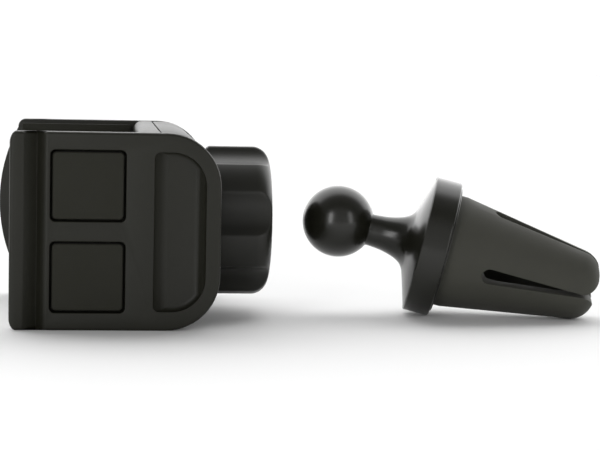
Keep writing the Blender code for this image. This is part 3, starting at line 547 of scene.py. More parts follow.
COVE_X = JAW_FRONT + 6.0 * MM  # its deepest line
COVE_LIFT = 0.02 * MM  # the cutter starts this far above the face
COVE_SECTION = [(x * MM, depth * MM) for x, depth in (
    (-3.4, 0.0), (-3.05, 0.06), (-2.7, 0.28), (-1.5, 1.3), (-0.2, 2.34), (0.05, 2.32),
    (0.45, 1.75), (0.85, 1.2), (1.25, 0.7), (1.65, 0.3), (2.0, 0.08), (2.3, 0.0))]
print("the cove is", round(max(depth for x, depth in COVE_SECTION) / MM, 2), "mm deep")


# %% The plate and its cove
def jaw_plate(name, side, corner_r):
    """A plain plate with rounded corners; side is -1 for the fixed jaw and 1 for the sliding one."""
    radii = (corner_r, REAR_CORNER_R, REAR_CORNER_R, corner_r)
    return slab(name, (JAW_FRONT, -HALF_HEIGHT), (PLATE_REAR, HALF_HEIGHT), radii,
                side * HALF_WIDTH, side * PLATE_INNER)


def cut_cove(plate, side):
    """Cut the long cove: one long slope in from the front, and a shorter, rounded way out."""
    outline = [(COVE_X + x, side * (HALF_WIDTH + COVE_LIFT - depth)) for x, depth in eased(COVE_SECTION, 4)]
    ends = [(COVE_X + COVE_SECTION[k][0], side * (HALF_WIDTH + PAST)) for k in (-1, 0)]
    carve(plate, drawn("cove_cutter", outline + ends, -HALF_HEIGHT - PAST, HALF_HEIGHT + PAST, "Z"))


def round_rims(plate, side):
    """Round the plate's outer rim, and less the inner one."""
    def faces(edge, low, high):
        walls, faces_out = [], []
        for f in edge.link_faces:
            (walls if abs(f.normal.y) < 0.2 else faces_out).append(f.normal.y * side)
        return len(walls) == len(faces_out) == 1 and low < faces_out[0] < high

    with editing(plate) as mesh:
        pick(mesh, "EDGE", lambda e: faces(e, 0.6, 1.1))
        bpy.ops.mesh.bevel(affect="EDGES", offset=OUTER_RIM_R, segments=5, clamp_overlap=False)
        pick(mesh, "EDGE", lambda e: faces(e, -1.1, -0.9))
        bpy.ops.mesh.bevel(affect="EDGES", offset=INNER_RIM_R, segments=3, clamp_overlap=False)


print("a plate is", round((PLATE_REAR - JAW_FRONT) / MM, 1), "mm long")

# %% [markdown]
# The windows go right through. The pocket is a scoop: its straight front wall slopes in over nearly
# four millimetres, its rear wall over less. So its cutter is what two solids share: the D-shaped
# block with a rounded floor, and a long trough with soft sides. All three holes are cut at once,
# since every further cut splits the flat faces again and makes the mesh less sound.

# %% Windows and pocket
WINDOW_FRONT = JAW_FRONT + 8.85 * MM
WINDOW_LENGTH = 16.6 * MM
WINDOW_HEIGHT = 15.8 * MM
WINDOW_SPACING = 4.4 * MM
WINDOW_CORNER_R = 1.2 * MM
WINDOW_GAP = 0.5 * MM
MOUTH_R = 0.22 * MM
MOUTH = [(MOUTH_R * math.sin(a), MOUTH_R * (1 - math.cos(a))) for a in map(math.radians, (30, 60, 90))]
POCKET = (3.6 * MM, 15.2 * MM)
POCKET_HALF = 17.7 * MM
POCKET_CORNER_R = 7.5 * MM
POCKET_FRONT_R = 1.4 * MM
POCKET_DEPTH = 2.4 * MM
POCKET_SOFTEN = 1.3 * MM
POCKET_SLOPES = (4.0 * MM, 2.7 * MM)  # how far its front and rear walls slope in
POCKET_WALL = eased([(0.0, 0.0), (0.09, 0.2), (0.22, 0.42), (0.41, 0.68), (0.6, 0.86), (0.8, 0.965),
                     (1.0, 1.0)], 4)  # the walls' section: share of the way in, share of the depth


def window_box(upper, shrink=0.0):
    """Two corners of a square window, or of the plug in it."""
    low_z = WINDOW_SPACING / 2 if upper else -WINDOW_SPACING / 2 - WINDOW_HEIGHT
    return ((WINDOW_FRONT + shrink, low_z + shrink),
            (WINDOW_FRONT + WINDOW_LENGTH - shrink, low_z + WINDOW_HEIGHT - shrink))


def mouthed(name, low, high, radii, face, end):
    """A cutter that starts outside a face, with a mouth that rounds the hole's edge."""
    out = PAST if face > end else -PAST
    wide_low = [v - MOUTH_R for v in low]
    wide_high = [v + MOUTH_R for v in high]
    piece = slab(name, wide_low, wide_high, [r + MOUTH_R for r in radii], face + out, face)
    with editing(piece) as mesh:
        pick(mesh, "FACE", lambda f: all(abs(v.co.y - face) < NEAR for v in f.verts))
        step_in(MOUTH + [(MOUTH_R + TOUCHING, abs(end - face))])
    return piece


def cut_windows_and_pocket(jaw, side, *more):
    """Cut the two square windows, the D-shaped pocket and whatever else there is, all at once."""
    face = side * HALF_WIDTH
    windows = [mouthed("window_cutter", *window_box(upper), (WINDOW_CORNER_R,) * 4, face,
                       side * (PLATE_INNER - PAST)) for upper in (True, False)]
    front, rear = POCKET
    block = slab("pocket_cutter", (front, -POCKET_HALF), (rear, POCKET_HALF),
                 (POCKET_FRONT_R, POCKET_CORNER_R, POCKET_CORNER_R, POCKET_FRONT_R),
                 side * (HALF_WIDTH + PAST), side * (HALF_WIDTH - POCKET_DEPTH), end_r=POCKET_SOFTEN)
    trough = [(front + POCKET_SLOPES[0] * far, side * (HALF_WIDTH - POCKET_DEPTH * deep))
              for far, deep in POCKET_WALL]
    trough += [(rear - POCKET_SLOPES[1] * far, side * (HALF_WIDTH - POCKET_DEPTH * deep))
               for far, deep in reversed(POCKET_WALL)]
    trough += [(rear, side * (HALF_WIDTH + 2 * PAST)), (front, side * (HALF_WIDTH + 2 * PAST))]
    carve(block, drawn("pocket_trough", trough, -HALF_HEIGHT, HALF_HEIGHT, "Z"), "INTERSECT")
    carve(jaw, together(block, *windows, *more))


print("the pocket is", round((POCKET[1] - POCKET[0]) / MM, 1), "mm wide")

# %% [markdown]
# ## The front cover
# The fixed jaw and the front half of the body are one moulding: no gap shows between them in the
# photograph. The cover is a shallow tray, open to the rear, with a recess for the phone pad, four
# screw posts and a ring that backs the socket's flange.

# %% Sizes of the body
TRAY_HALF = HALF_HEIGHT - 0.03 * MM  # a hair under the plate's rim, so that the two join cleanly
HOUSING_HALF = HALF_HEIGHT - 0.1 * MM
BODY_NEAR = -29.7 * MM
BODY_FAR = 29.4 * MM
BODY_REAR = 16.6 * MM
BODY_CORNER_R = 9.3 * MM
BODY_WALL = 2.0 * MM
SEAM_X = 5.0 * MM
SEAM_R = 0.25 * MM
COVER_FACE = 0.5 * MM
COVER_INNER = 3.0 * MM
COVER_EDGE_R = 2.0 * MM
POST_MEET_X = 9.4 * MM
POST_R = 2.6 * MM
SCREW_R = 1.1 * MM
SCREW_PLACES = [(y * MM, z * MM) for z in (5.0, -5.0) for y in (-23.6, 23.6)]
PAD_HALF = (24.0 * MM, 16.5 * MM)
PAD_CORNER_R = 3.5 * MM
PAD_THICK = 1.1 * MM
SOCKET_FLANGE_FRONT = 12.3 * MM
CLAMP_RING_R = (8.0 * MM, 6.2 * MM)  # outside and inside
TRAY_END_R = 0.3 * MM


def at_screws(make, *sizes):
    """Make a turned tool once for each housing screw."""
    return [make(*sizes, (0.0, y, z)) for y, z in SCREW_PLACES]


print("screws at", [(round(y / MM, 1), round(z / MM, 1)) for y, z in SCREW_PLACES])

# %% Front cover with the fixed jaw
cover = jaw_plate("front_cover_moulding", -1, FRONT_CORNER[1])
with editing(cover) as mesh:
    pick(mesh, "VERT", lambda v: v.co.x < JAW_FRONT + FRONT_CORNER[1] + NEAR)
    bpy.ops.transform.resize(value=(FRONT_CORNER[0] / FRONT_CORNER[1], 1.0, 1.0),
                             center_override=(JAW_FRONT, 0.0, 0.0))
cut_cove(cover, -1)
clean_flats(cover)
round_rims(cover, -1)

tray = slab("cover_tray", (COVER_FACE, -TRAY_HALF), (SEAM_X, TRAY_HALF),
            (COVER_EDGE_R, SEAM_R, SEAM_R, COVER_EDGE_R), -PLATE_INNER - PAST, BODY_FAR, end_r=TRAY_END_R)
room_half = HOUSING_HALF - BODY_WALL
room = slab("tray_room", (COVER_INNER, -room_half), (SEAM_X + PAST, room_half), (0.0,) * 4,
            BODY_NEAR + BODY_WALL, BODY_FAR - BODY_WALL)
recess = slab("pad_recess", [-half - GAP for half in PAD_HALF], [half + GAP for half in PAD_HALF],
              (PAD_CORNER_R + GAP,) * 4, COVER_FACE - PAST, PAD_THICK + GAP, "X")
carve(tray, together(room, recess))
root = COVER_INNER - PAST / 2
clamp_ring = tube("clamp_ring", *CLAMP_RING_R, root, SOCKET_FLANGE_FRONT - GAP)
posts = at_screws(tube, "screw_post", POST_R, SCREW_R + GAP, root, POST_MEET_X)
carve(tray, together(clamp_ring, *posts), "UNION")
carve(cover, tray, "UNION")
cut_windows_and_pocket(cover, -1)
hand_over(cover, "cradle", "satin_plastic", textured_abs, "front_cover")

# %% [markdown]
# ## The back housing
# The rear half of the body is a deep tray with large rounded corners. It takes the sleeves for the
# guide rods, the screw bosses and the hole for the socket's neck.

# %% Sizes of the housing
ROD_X = 9.3 * MM
ROD_Z = 14.2 * MM
ROD_R = 1.5 * MM
SLEEVE_R = 4.0 * MM
SLEEVE_END = 19.4 * MM
JAW_BOSS_R = 3.2 * MM
JAW_BOSS = 2.4 * MM
SCREW_HEAD_R = 2.2 * MM
SCREW_HEAD = 1.0 * MM
HEAD_ROOM_EDGE = 0.15 * MM
SOCKET_OUTER_R = 10.4 * MM
HOUSING_RIM_R = 0.35 * MM
ROUND_STEPS = 48


def along_y(piece, x, z):
    """Turn a piece that was made on the X axis so that it lies along Y at (x, z)."""
    piece.rotation_euler = (0.0, 0.0, math.pi / 2)
    piece.location = (x, 0.0, z)
    return settle(piece)


def at_rods(make, *sizes):
    """Make a turned tool once for each guide rod, laid along it."""
    return [along_y(make(*sizes), ROD_X, z) for z in (ROD_Z, -ROD_Z)]


print("rods at z", round(ROD_Z / MM, 1), "and", round(-ROD_Z / MM, 1))

# %% The housing's shell, sleeves and bosses
housing = slab("back_housing_moulding", (SEAM_X + GAP, -HOUSING_HALF), (BODY_REAR, HOUSING_HALF),
               (SEAM_R, BODY_CORNER_R, BODY_CORNER_R, SEAM_R), BODY_NEAR, BODY_FAR,
               start_r=HOUSING_RIM_R, end_r=HOUSING_RIM_R)
inner_r = BODY_CORNER_R - BODY_WALL
carve(housing, slab("housing_room", (SEAM_X - PAST, -room_half), (BODY_REAR - BODY_WALL, room_half),
                    (0.0, inner_r, inner_r, 0.0), BODY_NEAR + BODY_WALL, BODY_FAR - BODY_WALL))
sleeves = at_rods(tube, "rod_sleeve", SLEEVE_R, 0.0, SLEEVE_END, BODY_FAR - BODY_WALL / 2)
bosses = at_screws(tube, "screw_boss", POST_R, 0.0, POST_MEET_X + GAP, BODY_REAR - BODY_WALL / 2)
carve(housing, together(*sleeves, *bosses), "UNION")
print("the housing has", len(housing.data.polygons), "faces before it is bored")

# %% The housing's bores
boss_floor = PLATE_INNER - JAW_BOSS - GAP
bore_section = [(SLEEVE_END - PAST, 0.0), (SLEEVE_END - PAST, ROD_R + GAP), (boss_floor, ROD_R + GAP),
                (boss_floor, JAW_BOSS_R + GAP), (BODY_FAR + PAST, JAW_BOSS_R + GAP),
                (BODY_FAR + PAST, 0.0)]
bores = at_rods(turned, "rod_bore", bore_section, ROUND_STEPS)
head_floor = BODY_REAR - SCREW_HEAD - GAP
head_section = [(POST_MEET_X, 0.0), (POST_MEET_X, SCREW_R + GAP), (head_floor, SCREW_R + GAP),
                (head_floor, SCREW_HEAD_R + GAP), (BODY_REAR - HEAD_ROOM_EDGE, SCREW_HEAD_R + GAP),
                (BODY_REAR + HEAD_ROOM_EDGE / 3, SCREW_HEAD_R + 2 * GAP),
                (BODY_REAR + PAST, SCREW_HEAD_R + 2 * GAP), (BODY_REAR + PAST, 0.0)]
head_rooms = at_screws(turned, "head_room", head_section, ROUND_STEPS)
neck_hole = tube("neck_hole", SOCKET_OUTER_R + GAP, 0.0, BODY_REAR - 2 * BODY_WALL, BODY_REAR + PAST,
                 steps=TURN_STEPS)
carve(housing, together(neck_hole, *bores, *head_rooms))
hand_over(housing, "cradle", "satin_plastic", textured_abs, "back_housing")

# %% [markdown]
# ## The sliding jaw
# The far plate is the same, but its front edge bows forward so that a thumb can pull it open. The
# bow is a disc, cut off straight with a bisect, drawn out and joined on before the rims are rounded.
# Two bosses on its inner face hold the guide rods.

# %% Sliding jaw
THUMB_BOW = 4.5 * MM
BOW_HALF = 18.3 * MM
BOW_MIDDLE = 1.6 * MM
ROD_SEAT = 2.8 * MM
bow_r = (BOW_HALF ** 2 + THUMB_BOW ** 2) / (2 * THUMB_BOW)

jaw = jaw_plate("sliding_jaw_moulding", 1, SLIDING_CORNER_R)
bow = primitive(bpy.ops.mesh.primitive_circle_add, "thumb_bow", vertices=320, radius=bow_r,
                fill_type="NGON", rotation=(math.pi / 2, 0.0, 0.0),
                location=(JAW_FRONT - THUMB_BOW + bow_r, HALF_WIDTH, BOW_MIDDLE))
with editing(bow):
    bpy.ops.mesh.select_all(action="SELECT")
    bpy.ops.mesh.bisect(plane_co=(JAW_FRONT + PAST / 2, 0.0, 0.0), plane_no=(1.0, 0.0, 0.0),
                        clear_outer=True)
    draw_out(1, HALF_WIDTH, PLATE_INNER)
carve(jaw, bow, "UNION")
cut_cove(jaw, 1)
clean_flats(jaw)
round_rims(jaw, 1)
boss_end = PLATE_INNER - JAW_BOSS
carve(jaw, together(*at_rods(tube, "jaw_boss", JAW_BOSS_R, 0.0, boss_end, PLATE_INNER + PAST)), "UNION")
seats = at_rods(tube, "rod_seat", ROD_R + GAP, 0.0, boss_end - JAW_BOSS, boss_end + ROD_SEAT + GAP)
cut_windows_and_pocket(jaw, 1, *seats)
hand_over(jaw, "sliding_jaw", "satin_plastic", textured_abs, "sliding_jaw")

# %% [markdown]
# ## The rubber liners
# Each jaw has a rubber liner inside. Ribs run along the phone's edge, a hooked bead at the front
# keeps the phone in, and two square plugs stand in the windows, a hair below the plate. The gap
# round each plug is the dark line round the squares in the photograph.

# %% Sizes and outline of the liners
LINER_THICK = 1.6 * MM
LINER_RIB = 0.5 * MM
LINER_HALF = 20.9 * MM
RIB_PITCH = 3.1 * MM
RIB_TOP = 0.3
RIB_FOOT = 0.6
LIP = 3.4 * MM
LINER_INSET = 1.0 * MM
BEAD_HALF = 16.5 * MM
BEAD_FRONT = -0.2 * MM  # from the liner's front edge
BEAD_WIDTH = 2.4 * MM
BEAD_R = 0.9 * MM
BEAD_TOP_R = 0.7 * MM
BEAD_SINK = 0.1 * MM
RIB_EDGE_R = 0.12 * MM
PLUG_SINK = 0.2 * MM
PLUG_RIM_R = 0.4 * MM


def liner_outline(side):
    """The liner's section: a flat back and a ribbed face, as (y, z) points."""
    back = PLATE_INNER - GAP
    face = back - LINER_THICK
    count = int(2 * LINER_HALF / RIB_PITCH)
    points = [(back, -LINER_HALF), (back, LINER_HALF), (face + LINER_RIB, LINER_HALF)]
    foot, top = RIB_PITCH * RIB_FOOT / 2, RIB_PITCH * RIB_TOP / 2
    for k in reversed(range(count)):
        middle = (k + 0.5 - count / 2) * RIB_PITCH
        points += [(face + LINER_RIB, middle + foot), (face, middle + top),
                   (face, middle - top), (face + LINER_RIB, middle - foot)]
    return [(side * y, z) for y, z in points + [(face + LINER_RIB, -LINER_HALF)]]


print("a liner's outline has", len(liner_outline(1)), "points")


# %% The two liners
def make_liner(name, side, body, node):
    """A ribbed liner with its bead and its two plugs."""
    back = side * (PLATE_INNER - GAP)
    front = JAW_FRONT + LINER_INSET
    liner = drawn(name, liner_outline(side), front, -GAP, "X")
    break_edges(liner, RIB_EDGE_R, angle=30.0)
    for upper in (True, False):
        low, high = window_box(upper, WINDOW_GAP)
        plug = slab("plug", low, high, (WINDOW_CORNER_R - WINDOW_GAP / 2,) * 4, back - side * LINER_RIB,
                    side * (HALF_WIDTH - PLUG_SINK), end_r=PLUG_RIM_R)
        carve(liner, plug, "UNION")
    start = front + BEAD_FRONT
    bead = slab("bead", (start, -BEAD_HALF), (start + BEAD_WIDTH, BEAD_HALF), (BEAD_R,) * 4,
                back - side * LIP, back - side * BEAD_SINK, start_r=BEAD_TOP_R)
    carve(liner, bead, "UNION")
    return hand_over(liner, body, "soft_rubber", liner_rubber, node)


make_liner("fixed_liner", -1, "cradle", "fixed_grip_liner")
make_liner("sliding_liner", 1, "sliding_jaw", "sliding_grip_liner")

# %% [markdown]
# ## The phone pad
# A thin rubber pad on the cover's face keeps the phone from rattling. It is a plain plate with
# rounded rims and a narrow groove all round, made by insetting its face four times.

# %% Phone pad
PAD_RIM_R = 0.35 * MM
PAD_GROOVE = [(inset * MM, rise * MM) for inset, rise in ((1.4, 0.0), (1.6, -0.25), (2.0, -0.25), (2.2, 0.0))]
pad = slab("phone_pad_moulding", [-half for half in PAD_HALF], PAD_HALF, (PAD_CORNER_R,) * 4,
           0.0, PAD_THICK, "X", start_r=PAD_RIM_R)
with editing(pad) as mesh:
    pick(mesh, "FACE", lambda f: all(abs(v.co.x) < NEAR for v in f.verts))
    step_in(PAD_GROOVE)
hand_over(pad, "cradle", "soft_rubber", liner_rubber, "phone_pad")

# %% [markdown]
# ## The ball socket
# The socket is a collet: a spherical seat, six fingers split by slots, and a flange that the housing
# traps. It is turned in one piece. A fine thread outside takes the knob; its ridges are drawn as
# rings, since the knob hides them.

# %% Sizes of the ball socket
BALL_R = 8.5 * MM
SOCKET_BORE_R = 8.8 * MM
BALL_SEATED_X = 24.2 * MM
SOCKET_TIP = 28.7 * MM
SOCKET_FLANGE_R = 12.0 * MM
SOCKET_FLANGE_REAR = 14.3 * MM
SOCKET_FLANGE_BEVEL = 1.2 * MM
SOCKET_TIP_R = (9.15 * MM, 9.9 * MM)  # inside and outside
SOCKET_TIP_BEVEL = 0.15 * MM
SOCKET_THREAD = (2.5 * MM, 3.0 * MM)  # from the tip, and from the flange
THREAD_PITCH = 1.0 * MM
THREAD_DEPTH = 0.25 * MM
SLOT_WIDTH = 1.3 * MM
SLOT_DEPTH = 8.0 * MM
SLOT_PHASE = 15.0
SLOT_ROOT_R = 0.4 * MM


def thread(start, end, radius, depth):
    """Ridges of a fine thread from start to end."""
    count = int(abs(end - start) / THREAD_PITCH)
    pitch = (end - start) / count
    ridges = []
    for k in range(count):
        ridges += [(start + pitch * (k + 0.15), radius), (start + pitch * (k + 0.5), radius + depth),
                   (start + pitch * (k + 0.85), radius)]
    return ridges


print("a ball of", round(2 * BALL_R / MM), "mm in a seat of", round(2 * SOCKET_BORE_R / MM, 1), "mm")

# %% Ball socket
inside, outside = SOCKET_TIP_R
section = [(SOCKET_TIP, inside), (SOCKET_TIP, outside - SOCKET_TIP_BEVEL),
           (SOCKET_TIP - SOCKET_TIP_BEVEL, outside)]
section += thread(SOCKET_TIP - SOCKET_THREAD[0], SOCKET_FLANGE_REAR + SOCKET_THREAD[1], SOCKET_OUTER_R,
                  -THREAD_DEPTH)
section += [(SOCKET_FLANGE_REAR, SOCKET_OUTER_R),
            (SOCKET_FLANGE_REAR, SOCKET_FLANGE_R - SOCKET_FLANGE_BEVEL),
            (SOCKET_FLANGE_REAR - SOCKET_FLANGE_BEVEL, SOCKET_FLANGE_R),
            (SOCKET_FLANGE_FRONT, SOCKET_FLANGE_R), (SOCKET_FLANGE_FRONT, 0.0)]
seat = arc(BALL_SEATED_X, 0.0, SOCKET_BORE_R, -90, 0, 18)
seat[0] = (BALL_SEATED_X - SOCKET_BORE_R, 0.0)
socket = turned("ball_socket_turned", section + seat + [section[0]])
for k in range(3):
    slot = slab("finger_slot", (SOCKET_TIP - SLOT_DEPTH, -SLOT_WIDTH / 2),
                (SOCKET_TIP + PAST, SLOT_WIDTH / 2), (SLOT_ROOT_R, 0.0, 0.0, SLOT_ROOT_R),
                -2 * SOCKET_OUTER_R, 2 * SOCKET_OUTER_R)
    slot.rotation_euler = (math.radians(60 * k + SLOT_PHASE), 0.0, 0.0)
    carve(socket, settle(slot))
hand_over(socket, "cradle", "satin_plastic", black_acetal, "ball_socket")

# %% [markdown]
# ## The clamp knob
# The knob is a thick nut with six flutes for the fingers. Flutes could be cut with round
# bars, but a cut leaves an edge that no bevel softens evenly where it runs out over the rounded rear
# edge. So the nut is turned from a section with many fine steps, and in edit mode each vertex is then
# pressed in towards the axis as deep as a round bar would cut. Where the bar and the turned shape
# meet, the smaller radius is blended softly into the other, which gives the moulded edge.

# %% Clamp knob
KNOB_R = 17.5 * MM
KNOB_FRONT = 16.9 * MM
KNOB_REAR = 31.7 * MM
KNOB_REAR_R = 3.9 * MM
KNOB_FRONT_R = 0.9 * MM
KNOB_MOUTH_R = 9.3 * MM
KNOB_LEAD = 0.8 * MM  # bevel at the mouth's rim
KNOB_LIP = 1.2 * MM  # how far in the mouth starts to widen
KNOB_THREAD = (0.5 * MM, 1.5 * MM)  # from the front, and from the socket's tip
KNOB_BORE_R = SOCKET_OUTER_R + 1.3 * GAP
KNOB_STEPS = 432
FLUTE_WIDTH = 9.9 * MM
FLUTE_DEPTH = 2.4 * MM
FLUTE_PHASE = math.radians(10.0)
FLUTE_TURN = math.radians(60.0)
FLUTE_BLEND = 0.5 * MM  # how far the softened edge reaches

section = [(KNOB_REAR, KNOB_MOUTH_R + KNOB_LEAD)]
section += arc(KNOB_REAR - KNOB_REAR_R, KNOB_R - KNOB_REAR_R, KNOB_REAR_R, 90, 0, 28)
section += arc(KNOB_FRONT + KNOB_FRONT_R, KNOB_R - KNOB_FRONT_R, KNOB_FRONT_R, 0, -90, 6)
section += [(KNOB_FRONT, KNOB_BORE_R)]
section += thread(KNOB_FRONT + KNOB_THREAD[0], SOCKET_TIP - KNOB_THREAD[1], KNOB_BORE_R, THREAD_DEPTH)
section += [(SOCKET_TIP - GAP, KNOB_BORE_R), (KNOB_REAR - KNOB_LIP, KNOB_MOUTH_R),
            (KNOB_REAR - KNOB_LEAD, KNOB_MOUTH_R), section[0]]
knob = turned("clamp_knob_turned", section, KNOB_STEPS)
print("the knob's section has", len(section), "points")

# %% Its flutes
sagitta = FLUTE_DEPTH - (KNOB_R - math.sqrt(KNOB_R ** 2 - FLUTE_WIDTH ** 2 / 4))
flute_r = (FLUTE_WIDTH ** 2 / 4 + sagitta ** 2) / (2 * sagitta)
reach = KNOB_R - FLUTE_DEPTH + flute_r


def flute_floor(angle):
    """The radius that a flute's bar leaves at this angle, or None beside it."""
    off = (angle - FLUTE_PHASE + FLUTE_TURN / 2) % FLUTE_TURN - FLUTE_TURN / 2
    inside = flute_r ** 2 - (reach * math.sin(off)) ** 2
    return reach * math.cos(off) - math.sqrt(inside) if inside > 0.0 else None


def pressed(radius, floor):
    """The smaller of two radii, with a soft passage between them."""
    if floor is None:
        return radius
    near = max(FLUTE_BLEND - abs(radius - floor), 0.0) / FLUTE_BLEND
    return min(radius, floor) - near ** 2 * FLUTE_BLEND / 4


with editing(knob) as mesh:
    form = bmesh.from_edit_mesh(mesh)
    for v in form.verts:
        radius = math.hypot(v.co.y, v.co.z)
        if radius > KNOB_R - KNOB_REAR_R + NEAR:
            floor = flute_floor(math.atan2(v.co.z, -v.co.y))
            if v.co.x < KNOB_FRONT + KNOB_FRONT_R:
                new = pressed(KNOB_R, floor) - (KNOB_R - radius)
            else:
                new = pressed(radius, floor)
            v.co.y, v.co.z = v.co.y * new / radius, v.co.z * new / radius
    bmesh.update_edit_mesh(mesh)
hand_over(knob, "clamp_knob", "polished_plastic", satin_abs, "clamp_knob", angle=50.0)

# %% [markdown]
# ## The vent clip
# The clip is modelled along the X axis with the middle of its ball at the origin, and then laid down
# where it rests: turned a little towards the camera and tipped, so that its ring and its prongs touch
# the table. The ball, stem and conical plate are one turned piece. Its section is a smooth line
# through a few measured points.

# %% Laying the clip down
BALL_REST_X = 48.8 * MM
CLIP_YAW = math.radians(-9.0)
CLIP_TILT = math.radians(13.511)
lay = (Matrix.Translation((BALL_REST_X, 0.0, 0.0)) @ Matrix.Rotation(CLIP_YAW, 4, "Z")
       @ Matrix.Rotation(CLIP_TILT, 4, "Y"))


def lay_down(piece):
    """Move a piece of the clip to where the clip lies."""
    piece.matrix_world = lay
    return settle(piece)


print("the ball rests at x", round(BALL_REST_X / MM, 1))

# %% Ball, stem and conical plate
RING_R = 16.3 * MM
RING_FRONT = 21.5 * MM
RING_SKIRT = 20.15 * MM  # the ring reaches forward over the plate's edge
PLATE_R = RING_R - 0.75 * MM
PLATE_EDGE_X = 20.0 * MM
PLATE_BACK = RING_FRONT - GAP
SPIGOT_R = RING_R - 1.4 * MM - GAP
SPIGOT_END = RING_FRONT + 0.8 * MM
HUB_R = 4.4 * MM
HUB = 6.0 * MM
HUB_END = RING_FRONT + HUB
HOLE_R = 1.7 * MM
EDGE = 0.15 * MM  # bevel at a fine turned edge
SKIRT_GAP = 0.12 * MM  # between the ring's skirt and the plate's edge
CLIP_STEPS = 128
STEM = [(x * MM, r * MM) for x, r in (
    (7.55, 3.9), (7.95, 3.78), (9.2, 3.86), (11.1, 4.05), (13.2, 4.5), (15.0, 5.1), (16.4, 5.9),
    (17.35, 7.1), (17.85, 8.4), (18.3, 9.8))]

ball = arc(0.0, 0.0, BALL_R, -90, 60, 50)
ball[0] = (-BALL_R, 0.0)
rim = [(PLATE_EDGE_X, PLATE_R - EDGE), (PLATE_EDGE_X + SKIRT_GAP, PLATE_R), (PLATE_BACK, PLATE_R)]
back = [(PLATE_BACK, SPIGOT_R), (SPIGOT_END, SPIGOT_R), (SPIGOT_END, HUB_R), (HUB_END, HUB_R),
        (HUB_END, HOLE_R), (HUB_END - HUB, HOLE_R), (HUB_END - HUB, 0.0)]
stud = turned("ball_stud_turned", ball + eased(STEM, 5) + rim + back, CLIP_STEPS)
hand_over(lay_down(stud), "vent_clip", "polished_plastic", polished_abs, "ball_stud")

# %% [markdown]
# The ring is pressed over the plate's edge, and a lip inside it holds the rubber cone's flange. Its
# skirt reaches a little forward past the plate's edge, which draws a dark line there. Its rear edge
# has a bevel and a small step, which catch two thin lines of light in the photograph.

# %% Retaining ring
RING_REAR = 26.7 * MM
RING_WALL = 1.4 * MM
RING_LIP = 1.6 * MM
BOOT_BASE_R = 13.4 * MM
STEP_R = RING_R - 1.3 * MM
STEP_EDGE = 0.1 * MM
RING_REAR_R = 0.45 * MM
RING_REAR_BEVEL = 0.85 * MM

section = [(RING_SKIRT, RING_R - EDGE), (RING_SKIRT + EDGE, RING_R),
           (RING_REAR - RING_REAR_BEVEL - STEP_EDGE, RING_R)]
section += arc(RING_REAR - RING_REAR_BEVEL, RING_R - RING_REAR_R, RING_REAR_R, 20, 75, 5)
section += [(RING_REAR - 3.5 * STEP_EDGE, STEP_R + STEP_EDGE), (RING_REAR - 3 * STEP_EDGE, STEP_R),
            (RING_REAR - STEP_EDGE, STEP_R), (RING_REAR, STEP_R - STEP_EDGE),
            (RING_REAR, BOOT_BASE_R + GAP), (RING_REAR - RING_LIP, BOOT_BASE_R + GAP),
            (RING_REAR - RING_LIP, RING_R - RING_WALL), (RING_FRONT, RING_R - RING_WALL),
            (RING_FRONT, PLATE_R + SKIRT_GAP), (RING_SKIRT, PLATE_R + SKIRT_GAP), section[0]]
ring = turned("retaining_ring_turned", section, CLIP_STEPS)
hand_over(lay_down(ring), "vent_clip", "polished_plastic", polished_abs, "clip_ring")

# %% [markdown]
# The rubber cone is turned too, with a hollow inside so that the prongs can bend, and two crossed
# slots split it into four prongs. A slot is round at its root and narrows towards the tips, where
# the prongs almost touch and then round off like fingertips. Its outline is drawn once and cut
# twice, a quarter turn apart.

# %% Rubber cone with four prongs
BOOT_START = 28.4 * MM
BOOT_TIP = 63.5 * MM
BOOT_TIP_R = 8.44 * MM
BOOT_TIP_ROUND = 5.6 * MM
SLOT_ROOT = 35.6 * MM
SLOT_R = 1.85 * MM
SLOT_TIP_HALF = 0.4 * MM
PRONG_END_ROUND = 3.7 * MM
PRONG_PHASE = 12.0
FLANGE = (22.6 * MM, 24.8 * MM)  # front and rear of the flange that the ring holds
HUB_ROOM_END = HUB_END + GAP
WELL_R = 3.9 * MM
WELL_FLOOR = 33.1 * MM
HOLLOW = [(x * MM, r * MM) for x, r in (
    (37.1, 7.6), (39.6, 8.2), (53.5, 5.8), (56.5, 4.4), (58.0, 0.0))]
PRONG_EDGE_R = 0.35 * MM

tip_start = BOOT_TIP - BOOT_TIP_ROUND
slope = math.degrees(math.atan((BOOT_BASE_R - BOOT_TIP_R) / (tip_start - BOOT_START)))
section = [(BOOT_TIP, 0.0)] + arc(tip_start, BOOT_TIP_R - BOOT_TIP_ROUND, BOOT_TIP_ROUND, 90, slope, 14)
section += [(BOOT_START + 1.2 * MM, BOOT_BASE_R - 0.2 * MM), (BOOT_START, BOOT_BASE_R),
            (FLANGE[1] + 0.5 * MM, BOOT_BASE_R), (FLANGE[1], BOOT_BASE_R),
            (FLANGE[1], SPIGOT_R), (FLANGE[0], SPIGOT_R),
            (FLANGE[0], HUB_R + GAP), (HUB_ROOM_END, HUB_R + GAP), (HUB_ROOM_END, HOLE_R),
            (WELL_FLOOR, HOLE_R), (WELL_FLOOR, WELL_R), (SLOT_ROOT, WELL_R)] + HOLLOW
boot = turned("prong_boot_turned", section, CLIP_STEPS)

